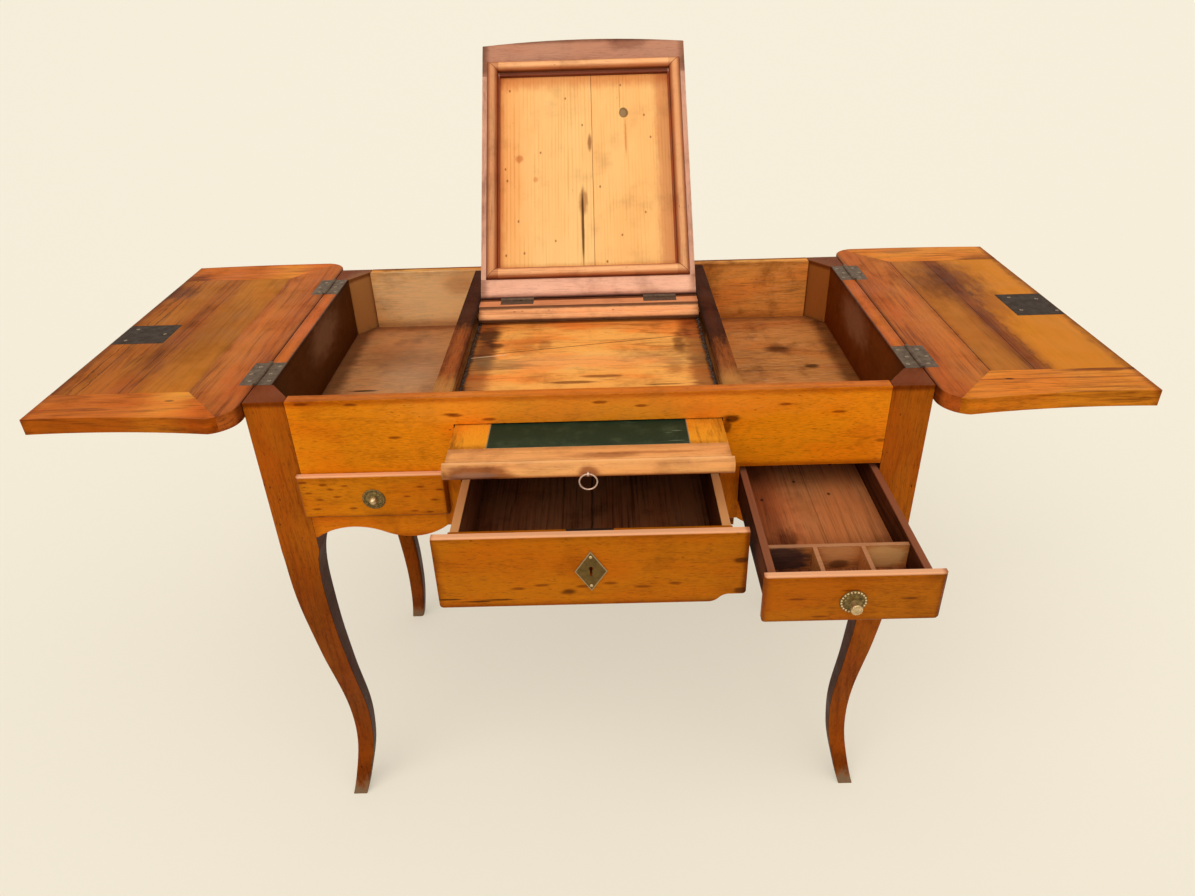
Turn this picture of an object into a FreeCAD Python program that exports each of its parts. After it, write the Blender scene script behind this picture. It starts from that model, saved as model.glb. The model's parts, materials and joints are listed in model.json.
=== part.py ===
import FreeCAD, Part
import math
import os

import Sketcher

# A poudreuse: a small French dressing table with two side leaves that fold out,
# a mirror flap on a sliding batten, a writing slide and three drawers.
# Millimetres. Origin on the floor under the middle of the case, X to the right
# as seen from the front, Y to the back, Z up.

doc = FreeCAD.newDocument("Poudreuse")
sheet = doc.addObject("Spreadsheet::Sheet", "Sizes")
os.makedirs("parts", exist_ok=True)


class Size:
    """A length known both as a number and as an expression over the sheet."""

    def __init__(self, value, text):
        self.value = value
        self.text = text

    def join(self, sign, other, value):
        other_text = other.text if isinstance(other, Size) else repr(other)
        return Size(value, f"({self.text} {sign} {other_text})")

    def __add__(self, other):
        return self.join("+", other, self.value + number(other))

    def __sub__(self, other):
        return self.join("-", other, self.value - number(other))

    def __mul__(self, other):
        return self.join("*", other, self.value * number(other))

    def __truediv__(self, other):
        return self.join("/", other, self.value / number(other))

    def __neg__(self):
        return self * -1


def number(item):
    return item.value if isinstance(item, Size) else item


def text_of(item):
    return item.text if isinstance(item, Size) else repr(item)


# Every driving size by its name, in millimetres; the flap's lean is in degrees
SIZES = {
    # Case
    "case_width": 820,
    "case_depth": 475,
    "case_height": 720,
    "seat_gap": 0.3,
    "tenon_length": 18,
    "tenon_thick": 7,
    "tenon_inset": 5,
    "tenon_shoulder": 10,
    "housing_depth": 4,
    # Legs
    "leg_width": 50,
    "leg_depth": 48,
    "leg_post_height": 220,
    "leg_bevel_width": 27,
    "leg_bevel_depth": 35,
    "leg_bevel_foot_drop": 180,
    # Boards of the case
    "front_thick": 17,
    "back_thick": 20,
    "side_thick": 21,
    "front_board_height": 106,
    "back_board_height": 180,
    "side_board_height": 200,
    "side_board_arch": 22,
    "partition_inner": 162,
    "partition_thick": 24,
    "partition_height": 207,
    "muntin_foot_drop": 184,
    "drawer_rail_top_drop": 159,
    "apron_low_drop": 199,
    "apron_turn_drop": 193,
    "apron_high_drop": 184,
    "apron_arch_bend": 88,
    "apron_lobe_bend": 78,
    "well_floor_top_drop": 95,
    "well_floor_thick": 8,
    "centre_board_top_drop": 20,
    "centre_board_thick": 12,
    "groove_low_drop": 16,
    "groove_high_drop": 8,
    "groove_depth": 6,
    "runner_width": 14,
    "runner_height": 10,
    # Top: two leaves, the mirror flap between them and the fixed strip behind it
    "top_thick": 20,
    "top_seam": 1.1,
    "front_overhang": 37.5,
    "front_tip_overhang": 27.5,
    "back_overhang": 36.5,
    "back_tip_overhang": 30.5,
    "corner_overhang": 3.5,
    "leaf_clamp_wide": 72,
    "leaf_front_hollow": 5.5,
    "leaf_back_swell": 2.5,
    "leaf_corner_along": 30,
    "leaf_corner_radius": 36,
    "leaf_stile_width": 76,
    "leaf_mitre_rise": 88,
    "tongue_long": 10,
    "flap_crest": 8,
    "flap_overhang": 14,
    "flap_side_gap": 0.6,
    "flap_rear_clamp": 30,
    "flap_front_clamp": 55,
    "flap_stile": 28,
    "flap_lean": 43,
    "panel_recess": 5,
    "panel_thick": 7,
    "moulding_inset": 7.7,
    "moulding_front_gap": 0.5,
    "moulding_wide": 18,
    "moulding_high": 9,
    "moulding_round": 8.4,
    "strip_depth": 79,
    "strip_seam": 5.5,
    # Batten that carries the flap
    "carriage_out": 105.5,
    "batten_land": 22,
    "batten_land_gap": 4.5,
    "batten_step": 9,
    "batten_step_run": 5,
    "batten_front": 40,
    "batten_nose": 8,
    "flap_edge_gap": 3,
    # Hinges
    "plate_thick": 2,
    "plate_start": 3.4,
    "plate_edge": 0.6,
    "hinge_half": 32.5,
    "knuckle_radius": 2.6,
    "knuckle_bore": 1.3,
    "hinge_pin_radius": 1.25,
    "knuckle_notch": 3.2,
    "knuckle_play": 0.4,
    "hinge_seam": 0.5,
    "flap_hinge_half": 24.5,
    "flap_hinge_centre": 106,
    "flap_plate_wide": 14,
    "flap_knuckle_radius": 3.2,
    "flap_notch": 3.8,
    # Writing slide
    "slot_low_drop": 58,
    "slot_high_drop": 36,
    "slide_thick": 20,
    "slide_rise": 0.3,
    "slide_side_gap": 1.5,
    "slide_back_room": 96,
    "slide_rail": 29,
    "slide_stile": 43,
    "slide_nose": 10.5,
    "slide_nose_side": 3,
    "slide_nose_round": 9,
    "slide_out": 85,
    "leather_thick": 1.6,
    "eye_reach": 4.5,
    "eye_radius": 2.8,
    "eye_wire": 1.1,
    "ring_radius": 10,
    "ring_wire": 1.3,
    # Drawers
    "lip_thick": 9,
    "block_thick": 8,
    "side_front_lap_inner": 7,
    "side_front_lap_outer": 5,
    "side_box_gap_inner": 1,
    "side_box_gap_outer": 1.5,
    "side_box_back_room": 42,
    "side_front_low_drop": 163,
    "side_front_high_drop": 101,
    "side_box_high_drop": 114,
    "side_wall": 8,
    "centre_front_lap": 16,
    "centre_front_low_drop": 206,
    "centre_front_high_drop": 106.5,
    "centre_step_high": 11,
    "centre_step_start": 42,
    "centre_step_end": 20,
    "centre_step_bend": 16,
    "centre_box_gap": 1.5,
    "centre_box_back_room": 22,
    "centre_box_high_drop": 116,
    "centre_wall": 10,
    "bottom_thick": 7,
    "bottom_rise": 3,
    "lip_bevel": 3.5,
    "lip_corner": 4.5,
    "divider_thick": 5,
    "divider_back": 54,
    "divider_high": 31,
    "centre_out": 125,
    "right_out": 212,
    "guide_wide": 29,
    "guide_high": 16,
    # Furniture of brass and iron
    "rosette_radius": 14.5,
    "rosette_thick": 2.2,
    "knob_stem": 3.5,
    "left_knob_radius": 5.2,
    "left_knob_reach": 9.5,
    "right_knob_radius": 6.2,
    "right_knob_reach": 16,
    "lozenge_half_wide": 18.7,
    "lozenge_half_high": 28.5,
    "lozenge_thick": 1.6,
    "keyhole_radius": 2.6,
    "keyhole_slot": 1.4,
    "keyhole_drop": 11,
    "keyhole_rise": 4,
    "lock_half": 27,
    "lock_high": 42,
    "lock_thick": 9,
    "lock_wall": 1.5,
    "bolt_half": 8,
    "bolt_thick": 4,
    "bolt_long": 26,
    "bolt_throw": 7,
    "lock_plate_wide": 66,
    "left_plate_wide": 73,
    "lock_plate_low": -34,
    "lock_plate_high": 46,
    "left_plate_low": -50,
    "left_plate_high": 15,
}

# Legs
leg_height_shares = [0, 0.055, 0.12, 0.19, 0.27, 0.36, 0.45, 0.55, 0.65, 0.76, 0.87, 1]
front_inset_shares = [0.13, 0.27, 0.4, 0.505, 0.55, 0.525, 0.44, 0.31, 0.2, 0.095, 0.025, 0]
back_inset_shares = [0.52, 0.61, 0.68, 0.715, 0.71, 0.635, 0.51, 0.355, 0.225, 0.105, 0.03, 0]
leg_thick_shares = [0.44, 0.45, 0.475, 0.5, 0.52, 0.55, 0.57, 0.63, 0.69, 0.765, 0.83, 1]
leg_chamfer_share = 0.14
# Boards of the case
apron_start_share = 0.015
apron_turn_share = 0.53
# Hinges
knuckle_count = 3
# Writing slide
ring_flat_count = 4
eye_bore_share = 0.9
# Drawers
divider_first_share = 0.33
divider_second_share = 0.67
# Furniture of brass and iron
knob_height_share = 0.46
left_knob_shares = [(0.28, 1), (0.7, 0.85), (1, 0.4)]
right_knob_shares = [(0.68, 0.57), (0.8, 1), (1, 0.9)]

# Angles in degrees, and the share of a gap within which two places count as one
right_angle = 90
near_share = 0.01


class SizeSheet:
    """Writes each size into the sheet and holds it by its name."""

    def __init__(self, sizes):
        for row, (alias, value) in enumerate(sizes.items(), start=1):
            sheet.set(f"A{row}", alias)
            sheet.set(f"B{row}", str(value))
            sheet.setAlias(f"B{row}", alias)
            setattr(self, alias, Size(value, f"Sizes.{alias}"))


S = SizeSheet(SIZES)

zero = Size(0, "0")
half_width = S.case_width / 2
half_depth = S.case_depth / 2
front_inside = S.front_thick - half_depth
back_inside = half_depth - S.back_thick
side_inside = half_width - S.side_thick
leg_inside_x = half_width - S.leg_width
leg_inside_y = half_depth - S.leg_depth
front_board_foot = S.case_height - S.front_board_height
partition_outer = S.partition_inner + S.partition_thick
hinge_line_z = S.case_height + S.seat_gap / 2
hinge_line_x = half_width + S.hinge_seam

# Levels, measured down from the top of the case
leg_free_height = S.case_height - S.leg_post_height
leg_bevel_foot = S.case_height - S.leg_bevel_foot_drop
back_board_foot = S.case_height - S.back_board_height
side_board_foot = S.case_height - S.side_board_height
partition_foot = S.case_height - S.partition_height
muntin_foot = S.case_height - S.muntin_foot_drop
drawer_rail_top = S.case_height - S.drawer_rail_top_drop
apron_low = S.case_height - S.apron_low_drop
apron_turn = S.case_height - S.apron_turn_drop
apron_high = S.case_height - S.apron_high_drop
well_floor_top = S.case_height - S.well_floor_top_drop
centre_board_top = S.case_height - S.centre_board_top_drop
groove_low = S.case_height - S.groove_low_drop
groove_high = S.case_height - S.groove_high_drop
slot_low = S.case_height - S.slot_low_drop
slot_high = S.case_height - S.slot_high_drop
side_front_low = S.case_height - S.side_front_low_drop
side_front_high = S.case_height - S.side_front_high_drop
side_box_high = S.case_height - S.side_box_high_drop
centre_front_low = S.case_height - S.centre_front_low_drop
centre_front_high = S.case_height - S.centre_front_high_drop
centre_box_high = S.case_height - S.centre_box_high_drop
side_box_low = drawer_rail_top + S.seat_gap
centre_box_low = partition_foot + S.runner_height + S.seat_gap

# Places across the table
side_front_inner = partition_outer - S.side_front_lap_inner
side_front_outer = leg_inside_x + S.side_front_lap_outer
side_box_inner = partition_outer + S.side_box_gap_inner
side_box_outer = side_inside - S.guide_wide - S.side_box_gap_outer
centre_front_half = S.partition_inner + S.centre_front_lap
centre_box_half = S.partition_inner - S.centre_box_gap
centre_step_from = centre_front_half - S.centre_step_start
centre_step_to = centre_front_half - S.centre_step_end
slide_half = S.partition_inner - S.slide_side_gap
flap_half = S.partition_inner - S.flap_side_gap
leaf_length = half_width - flap_half - S.top_seam
hinge_centre = leg_inside_y - S.hinge_half
plate_wide = S.side_thick - S.plate_start - S.plate_edge

# Places from front to back
leaf_front = half_depth + S.front_overhang
leaf_front_tip = half_depth + S.front_tip_overhang
leaf_back = half_depth + S.back_overhang
leaf_back_tip = half_depth + S.back_tip_overhang
leaf_corner_start = half_depth + S.corner_overhang
leaf_clamp_line = leaf_front - S.leaf_clamp_wide
strip_front = leaf_back_tip - S.strip_depth
pin_closed = strip_front - S.strip_seam
flap_length = pin_closed - S.flap_edge_gap + half_depth + S.flap_overhang
moulding_front = front_inside + S.moulding_front_gap + half_depth + S.flap_overhang
box_start = S.block_thick - half_depth
side_box_length = back_inside - S.side_box_back_room - box_start
centre_box_length = back_inside - S.centre_box_back_room - box_start
slide_length = back_inside - S.slide_back_room - (S.slide_rail - half_depth)

bodies = []
ROLES = {"XY": "XY_Plane", "XZ": "XZ_Plane", "YZ": "YZ_Plane"}
# Sketches on the XZ plane look along -Y, so levels along Y change sign there.
FACING = {"XY": 1, "XZ": -1, "YZ": 1}


def new_body(label, at=None, turn=None):
    """A body placed by its origin, and turned about X if an angle is given."""
    body = doc.addObject("PartDesign::Body", label)
    body.Label = label
    body.AllowCompound = True
    if turn is not None:
        body.Placement = FreeCAD.Placement(
            FreeCAD.Vector(0, 0, 0), FreeCAD.Rotation(FreeCAD.Vector(1, 0, 0), number(turn))
        )
        body.setExpression("Placement.Rotation.Angle", turn.text)
    if at is not None:
        for axis, place in zip("xyz", at):
            body.setExpression(f"Placement.Base.{axis}", text_of(place))
    bodies.append(body)
    return body


class Bend:
    """An arc to the next corner, with its radius and the side it bulges to."""

    def __init__(self, radius, left):
        self.radius = radius
        self.left = left


def arc_between(start, end, bend):
    """The circle's centre for an arc from start to end."""
    middle = (start + end) / 2
    along = end - start
    half = along.Length / 2
    rise = math.sqrt(max(number(bend.radius) ** 2 - half**2, 0))
    across = FreeCAD.Vector(-along.y, along.x, 0).normalize()
    return middle + across * (-rise if bend.left else rise)


def draw(body, plane, level, outlines):
    """A sketch of closed outlines, each corner tied to the sheet."""
    sketch = body.newObject("Sketcher::SketchObject", f"{body.Name}_sketch")
    for feature in body.Origin.OriginFeatures:
        if feature.Role == ROLES[plane]:
            sketch.AttachmentSupport = [(feature, "")]
    sketch.MapMode = "FlatFace"
    sketch.setExpression("AttachmentOffset.Base.z", text_of(level * FACING[plane]))
    for outline in outlines:
        if isinstance(outline, Circle):
            draw_circle(sketch, outline)
        else:
            draw_outline(sketch, outline)
    sketch.Visibility = False
    return sketch


class Circle:
    def __init__(self, across, up, radius):
        self.across = across
        self.up = up
        self.radius = radius


def tie(sketch, kind, geometry, point, size):
    index = sketch.addConstraint(
        Sketcher.Constraint(kind, -1, 1, geometry, point, number(size))
    )
    if isinstance(size, Size):
        sketch.setExpression(f"Constraints[{index}]", size.text)


def draw_circle(sketch, circle):
    centre = FreeCAD.Vector(number(circle.across), number(circle.up), 0)
    normal = FreeCAD.Vector(0, 0, 1)
    geometry = sketch.addGeometry(Part.Circle(centre, normal, number(circle.radius)), False)
    tie(sketch, "DistanceX", geometry, 3, circle.across)
    tie(sketch, "DistanceY", geometry, 3, circle.up)
    index = sketch.addConstraint(Sketcher.Constraint("Radius", geometry, number(circle.radius)))
    sketch.setExpression(f"Constraints[{index}]", circle.radius.text)


def draw_outline(sketch, corners):
    """Corners are (across, up) or (across, up, Bend) for an arc to the next corner."""
    points = [FreeCAD.Vector(number(c[0]), number(c[1]), 0) for c in corners]
    ends = []
    for index, corner in enumerate(corners):
        start = points[index]
        end = points[(index + 1) % len(points)]
        if len(corner) == 2:
            geometry = sketch.addGeometry(Part.LineSegment(start, end), False)
            ends.append((geometry, 1, 2))
            continue
        bend = corner[2]
        centre = arc_between(start, end, bend)
        circle = Part.Circle(centre, FreeCAD.Vector(0, 0, 1), number(bend.radius))
        first = math.atan2(start.y - centre.y, start.x - centre.x)
        last = math.atan2(end.y - centre.y, end.x - centre.x)
        if bend.left:
            first, last = last, first
        geometry = sketch.addGeometry(Part.ArcOfCircle(circle, first, last), False)
        ends.append((geometry, 2, 1) if bend.left else (geometry, 1, 2))
        place = sketch.addConstraint(
            Sketcher.Constraint("Radius", geometry, number(bend.radius))
        )
        sketch.setExpression(f"Constraints[{place}]", text_of(bend.radius))
    for index, corner in enumerate(corners):
        geometry, start, _ = ends[index]
        before, _, finish = ends[index - 1]
        sketch.addConstraint(Sketcher.Constraint("Coincident", before, finish, geometry, start))
        tie(sketch, "DistanceX", geometry, start, corner[0])
        tie(sketch, "DistanceY", geometry, start, corner[1])


def extrude(body, plane, low, high, outlines, cut=False):
    """Add or cut a prism of the outlines between two levels along the plane's axis."""
    sketch = draw(body, plane, low, outlines)
    kind = "PartDesign::Pocket" if cut else "PartDesign::Pad"
    feature = body.newObject(kind, f"{body.Name}_{'cut' if cut else 'pad'}")
    feature.Profile = sketch
    feature.setExpression("Length", text_of(high - low))
    upward = FACING[plane] > 0
    feature.Reversed = upward if cut else not upward
    body.Tip = feature
    return feature


def rectangle(across_0, across_1, up_0, up_1):
    return [(across_0, up_0), (across_1, up_0), (across_1, up_1), (across_0, up_1)]


def box(body, x_0, x_1, y_0, y_1, z_0, z_1, cut=False):
    return extrude(body, "XY", z_0, z_1, [rectangle(x_0, x_1, y_0, y_1)], cut)


def both(side, inner, outer):
    """Two X places in rising order for one side of the table."""
    return (inner, outer) if side > 0 else (-outer, -inner)


def edges_where(body, test):
    """Names of the tip's edges whose two ends and middle pass the test."""
    doc.recompute()
    names = []
    for index, edge in enumerate(body.Tip.Shape.Edges):
        middle = edge.valueAt((edge.FirstParameter + edge.LastParameter) / 2)
        if test(edge, middle):
            names.append(f"Edge{index + 1}")
    return names


def ease(body, kind, size, test):
    """Round or bevel the edges that pass the test."""
    names = edges_where(body, test)
    base = body.Tip
    feature = body.newObject(f"PartDesign::{kind}", f"{body.Name}_{kind.lower()}")
    feature.Base = (base, names)
    feature.setExpression("Radius" if kind == "Fillet" else "Size", size.text)
    body.Tip = feature
    return feature


def near(value, size):
    return abs(value - number(size)) < near_share * number(S.seat_gap)


def runs_back(edge):
    """Whether an edge runs from front to back."""
    return near(abs(edge.tangentAt(edge.FirstParameter).y), 1)


# Legs


def leg(label, side, end):
    body = new_body(label)
    sections = []
    inset_shares = front_inset_shares if end < 0 else back_inset_shares
    for height_share, inset_share, thick_share in zip(
        leg_height_shares, inset_shares, leg_thick_shares
    ):
        inset = S.leg_width * inset_share
        out_x = (half_width - inset) * side
        out_y = (half_depth - inset) * end
        in_x = (half_width - inset - S.leg_width * thick_share) * side
        in_y = (half_depth - inset - S.leg_depth * thick_share) * end
        cut = S.leg_width * thick_share * leg_chamfer_share
        outline = [
            (out_x, out_y),
            (out_x, in_y),
            (in_x + cut * side, in_y),
            (in_x, in_y + cut * end),
            (in_x, out_y),
        ]
        sections.append(draw(body, "XY", leg_free_height * height_share, [outline]))
    loft = body.newObject("PartDesign::AdditiveLoft", f"{label}_loft")
    loft.Profile = sections[0]
    loft.Sections = sections[1:]
    loft.Ruled = False
    body.Tip = loft
    cut = S.leg_width * leg_chamfer_share
    post = [
        (half_width * side, half_depth * end),
        (half_width * side, leg_inside_y * end),
        ((leg_inside_x + cut) * side, leg_inside_y * end),
        (leg_inside_x * side, (leg_inside_y + cut) * end),
        (leg_inside_x * side, half_depth * end),
    ]
    extrude(body, "XY", leg_free_height, S.case_height, [post])
    bevel = [
        (leg_inside_x * side, leg_inside_y * end),
        ((leg_inside_x + S.leg_bevel_width) * side, leg_inside_y * end),
        (leg_inside_x * side, (leg_inside_y + S.leg_bevel_depth) * end),
    ]
    extrude(body, "XY", leg_bevel_foot, S.case_height, [bevel], cut=True)
    # Mortises for the long board and for the side board
    face = half_depth - S.tenon_inset
    foot = front_board_foot if end < 0 else back_board_foot
    low, high = foot + S.tenon_shoulder, S.case_height - S.tenon_shoulder
    x_0, x_1 = both(side, leg_inside_x, leg_inside_x + S.tenon_length)
    y_0, y_1 = both(end, face - S.tenon_thick, face)
    box(body, x_0, x_1, y_0, y_1, low, high, cut=True)
    low = side_board_foot + S.side_board_arch + S.tenon_shoulder
    face = half_width - S.tenon_inset
    x_0, x_1 = both(side, face - S.tenon_thick, face)
    y_0, y_1 = both(end, leg_inside_y, leg_inside_y + S.tenon_length)
    box(body, x_0, x_1, y_0, y_1, low, high, cut=True)
    return body


leg("leg_front_left", -1, -1)
leg("leg_front_right", 1, -1)
leg("leg_back_left", -1, 1)
leg("leg_back_right", 1, 1)

# Front board with the slot for the writing slide and a mortise for the lock bolt
front_board = new_body("front_board")
box(front_board, -leg_inside_x, leg_inside_x, -half_depth, front_inside, front_board_foot, S.case_height)
face = S.tenon_inset - half_depth
for side in (-1, 1):
    x_0, x_1 = both(side, leg_inside_x, leg_inside_x + S.tenon_length)
    low, high = front_board_foot + S.tenon_shoulder, S.case_height - S.tenon_shoulder
    box(front_board, x_0, x_1, face, face + S.tenon_thick, low, high)
slot = rectangle(-S.partition_inner, S.partition_inner, slot_low, slot_high)
extrude(front_board, "XZ", -half_depth, front_inside, [slot], cut=True)
bolt_y = S.seat_gap + S.lock_wall - half_depth
bolt_room = S.bolt_half + S.seat_gap * 2
box(front_board, -bolt_room, bolt_room, bolt_y - S.seat_gap * 2, bolt_y + S.bolt_thick + S.seat_gap * 2,
    front_board_foot, front_board_foot + S.bolt_throw + S.seat_gap * 4, cut=True)

# Back board
back_board = new_body("back_board")
box(back_board, -leg_inside_x, leg_inside_x, back_inside, half_depth, back_board_foot, S.case_height)
face = half_depth - S.tenon_inset
for side in (-1, 1):
    x_0, x_1 = both(side, leg_inside_x, leg_inside_x + S.tenon_length)
    low, high = back_board_foot + S.tenon_shoulder, S.case_height - S.tenon_shoulder
    box(back_board, x_0, x_1, face - S.tenon_thick, face, low, high)

# Side boards with a shaped lower edge, a housing for the well floor and hinge recesses


def side_board(label, side):
    body = new_body(label)
    arch_radius = (leg_inside_y * leg_inside_y + S.side_board_arch * S.side_board_arch) / (
        S.side_board_arch * 2
    )
    outline = [
        (-leg_inside_y, side_board_foot, Bend(arch_radius, True)),
        (leg_inside_y, side_board_foot),
        (leg_inside_y, S.case_height),
        (-leg_inside_y, S.case_height),
    ]
    x_0, x_1 = both(side, side_inside, half_width)
    extrude(body, "YZ", x_0, x_1, [outline])
    low = side_board_foot + S.side_board_arch + S.tenon_shoulder
    high = S.case_height - S.tenon_shoulder
    face = half_width - S.tenon_inset
    x_0, x_1 = both(side, face - S.tenon_thick, face)
    for end in (-1, 1):
        y_0, y_1 = both(end, leg_inside_y, leg_inside_y + S.tenon_length)
        box(body, x_0, x_1, y_0, y_1, low, high)
    x_0, x_1 = both(side, side_inside, side_inside + S.housing_depth)
    y_end = leg_inside_y - S.seat_gap
    box(body, x_0, x_1, -y_end, y_end, well_floor_top - S.well_floor_thick, well_floor_top, cut=True)
    x_0, x_1 = both(side, hinge_line_x - S.plate_start - plate_wide, hinge_line_x - S.plate_start)
    n_0, n_1 = both(side, hinge_line_x - S.plate_start - S.seat_gap, half_width)
    for end in (-1, 1):
        y_0, y_1 = both(end, hinge_centre - S.hinge_half, hinge_centre + S.hinge_half)
        box(body, x_0, x_1, y_0, y_1, S.case_height - S.plate_thick, S.case_height, cut=True)
        box(body, n_0, n_1, y_0, y_1, S.case_height - S.knuckle_notch, S.case_height, cut=True)
    return body


side_board("side_board_left", -1)
side_board("side_board_right", 1)

# Partitions with the groove for the batten and housings for the floors


def partition(label, side):
    body = new_body(label)
    x_0, x_1 = both(side, S.partition_inner, partition_outer)
    box(body, x_0, x_1, front_inside, back_inside, partition_foot, S.case_height)
    x_0, x_1 = both(side, S.partition_inner, S.partition_inner + S.groove_depth)
    box(body, x_0, x_1, front_inside, back_inside, groove_low, groove_high, cut=True)
    x_0, x_1 = both(side, S.partition_inner, S.partition_inner + S.housing_depth)
    low = centre_board_top - S.centre_board_thick
    box(body, x_0, x_1, front_inside, back_inside, low, centre_board_top, cut=True)
    x_0, x_1 = both(side, partition_outer - S.housing_depth, partition_outer)
    low = well_floor_top - S.well_floor_thick
    box(body, x_0, x_1, front_inside, back_inside, low, well_floor_top, cut=True)
    return body


partition("partition_left", -1)
partition("partition_right", 1)

# Muntins between the drawers and shaped aprons under the side drawers
muntins = new_body("drawer_muntins")
aprons = new_body("aprons")
for side in (-1, 1):
    x_0, x_1 = both(side, S.partition_inner, partition_outer)
    box(muntins, x_0, x_1, -half_depth, front_inside, muntin_foot, front_board_foot)
    span = leg_inside_x - partition_outer
    points = [
        (leg_inside_x, drawer_rail_top),
        (leg_inside_x, apron_low),
        (leg_inside_x - span * apron_start_share, apron_low, Bend(S.apron_arch_bend, side < 0)),
        (leg_inside_x - span * apron_turn_share, apron_turn, Bend(S.apron_lobe_bend, side > 0)),
        (partition_outer, apron_high),
        (partition_outer, drawer_rail_top),
    ]
    outline = [(p[0] * side, *p[1:]) for p in points]
    extrude(aprons, "XZ", -half_depth, front_inside, [outline])

# Floors of the side wells, housed in the boards and cut round the leg posts
floors = new_body("well_floors")
bevel_slope = S.leg_bevel_depth / S.leg_bevel_width
for side in (-1, 1):
    edge_y = leg_inside_y - S.seat_gap
    front_x = leg_inside_x + (half_depth + front_inside - (S.leg_depth - S.leg_bevel_depth)) / bevel_slope
    front_x = front_x - S.seat_gap
    back_x = leg_inside_x + (half_depth - back_inside - (S.leg_depth - S.leg_bevel_depth)) / bevel_slope
    back_x = back_x - S.seat_gap
    side_x = leg_inside_x + S.leg_bevel_width - S.seat_gap
    points = [
        (partition_outer - S.housing_depth, front_inside),
        (front_x, front_inside),
        (side_x, -edge_y),
        (side_inside + S.housing_depth, -edge_y),
        (side_inside + S.housing_depth, edge_y),
        (side_x, edge_y),
        (back_x, back_inside),
        (partition_outer - S.housing_depth, back_inside),
    ]
    outline = [(x * side, y) for x, y in points]
    extrude(floors, "XY", well_floor_top - S.well_floor_thick, well_floor_top, [outline])

# Recessed board of the centre well
centre_board = new_body("centre_board")
reach = S.partition_inner + S.housing_depth
box(centre_board, -reach, reach, front_inside, back_inside,
    centre_board_top - S.centre_board_thick, centre_board_top)

# Fixed strip of the top behind the flap, seated on the back board
strip = new_body("rear_top_strip")
box(strip, -flap_half, flap_half, strip_front, leaf_back_tip,
    S.case_height, S.case_height + S.top_thick)

# Runners and guides
runners = new_body("drawer_runners")
guide_end = leg_inside_y - S.seat_gap
for side in (-1, 1):
    x_0, x_1 = both(side, S.partition_inner - S.runner_width, S.partition_inner)
    box(runners, x_0, x_1, front_inside, back_inside, partition_foot, partition_foot + S.runner_height)
    box(runners, x_0, x_1, front_inside, back_inside, slot_low - S.runner_height, slot_low)
    low = drawer_rail_top - S.runner_height
    x_0, x_1 = both(side, partition_outer, partition_outer + S.runner_width)
    box(runners, x_0, x_1, front_inside, back_inside, low, drawer_rail_top)
    x_0, x_1 = both(side, side_inside - S.guide_wide - S.runner_width, side_inside)
    box(runners, x_0, x_1, -guide_end, guide_end, low, drawer_rail_top)
    x_0, x_1 = both(side, side_inside - S.guide_wide, side_inside)
    box(runners, x_0, x_1, -guide_end, guide_end, drawer_rail_top, drawer_rail_top + S.guide_high)

# Hinges of the side leaves


def knuckle_spans(middle, half, odd):
    """The odd or even knuckles of one hinge, as places along its pin."""
    pitch = half * 2 / knuckle_count
    first = middle - half
    spans = []
    for index in range(knuckle_count):
        if (index % 2 == 1) == odd:
            low = first + pitch * index
            spans.append((low + S.knuckle_play / 2, low + pitch - S.knuckle_play / 2))
    return spans


case_plates = new_body("leaf_hinge_case_plates")
for side in (-1, 1):
    x_0, x_1 = both(side, hinge_line_x - S.plate_start - plate_wide, hinge_line_x - S.plate_start)
    k_0, k_1 = both(side, hinge_line_x - S.plate_start - S.seat_gap, hinge_line_x)
    for end in (-1, 1):
        y_0, y_1 = both(end, hinge_centre - S.hinge_half, hinge_centre + S.hinge_half)
        box(case_plates, x_0, x_1, y_0, y_1, S.case_height - S.plate_thick, S.case_height)
        for low, high in knuckle_spans(hinge_centre * end, S.hinge_half, False):
            box(case_plates, k_0, k_1, low, high, S.case_height - S.plate_thick, S.case_height)
            rim = Circle(hinge_line_x * side, hinge_line_z, S.knuckle_radius)
            extrude(case_plates, "XZ", low, high, [rim])
    bore = Circle(hinge_line_x * side, hinge_line_z, S.knuckle_bore)
    extrude(case_plates, "XZ", -half_depth, half_depth, [bore], cut=True)

leaf_pins = new_body("leaf_hinge_pins")
for side in (-1, 1):
    for end in (-1, 1):
        y_0, y_1 = both(end, hinge_centre - S.hinge_half, hinge_centre + S.hinge_half)
        extrude(leaf_pins, "XZ", y_0, y_1, [Circle(hinge_line_x * side, hinge_line_z, S.hinge_pin_radius)])

# Side leaves, drawn from the hinge line: u runs outwards from it, the open
# leaf hangs from just under the pin's level down by the top's thickness
leaf_top = S.seat_gap / -2
leaf_foot = leaf_top - S.top_thick
leaf_far = S.hinge_seam + leaf_length
lock_plate_start = leaf_far - S.lock_plate_wide
left_plate_start = leaf_far - S.left_plate_wide
span = leaf_far - S.leaf_corner_along
front_bend = (span * span / 4 + S.leaf_front_hollow * S.leaf_front_hollow) / (S.leaf_front_hollow * 2)
back_bend = (span * span / 4 + S.leaf_back_swell * S.leaf_back_swell) / (S.leaf_back_swell * 2)


def leaf_outline(side):
    points = [
        (S.hinge_seam, -leaf_corner_start, Bend(S.leaf_corner_radius, side < 0)),
        (S.leaf_corner_along, -leaf_front, Bend(front_bend, side > 0)),
        (leaf_far, -leaf_front_tip),
        (leaf_far, leaf_back_tip, Bend(back_bend, side < 0)),
        (S.leaf_corner_along, leaf_back, Bend(S.leaf_corner_radius, side < 0)),
        (S.hinge_seam, leaf_corner_start),
    ]
    return [(p[0] * side, *p[1:]) for p in points]


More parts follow.
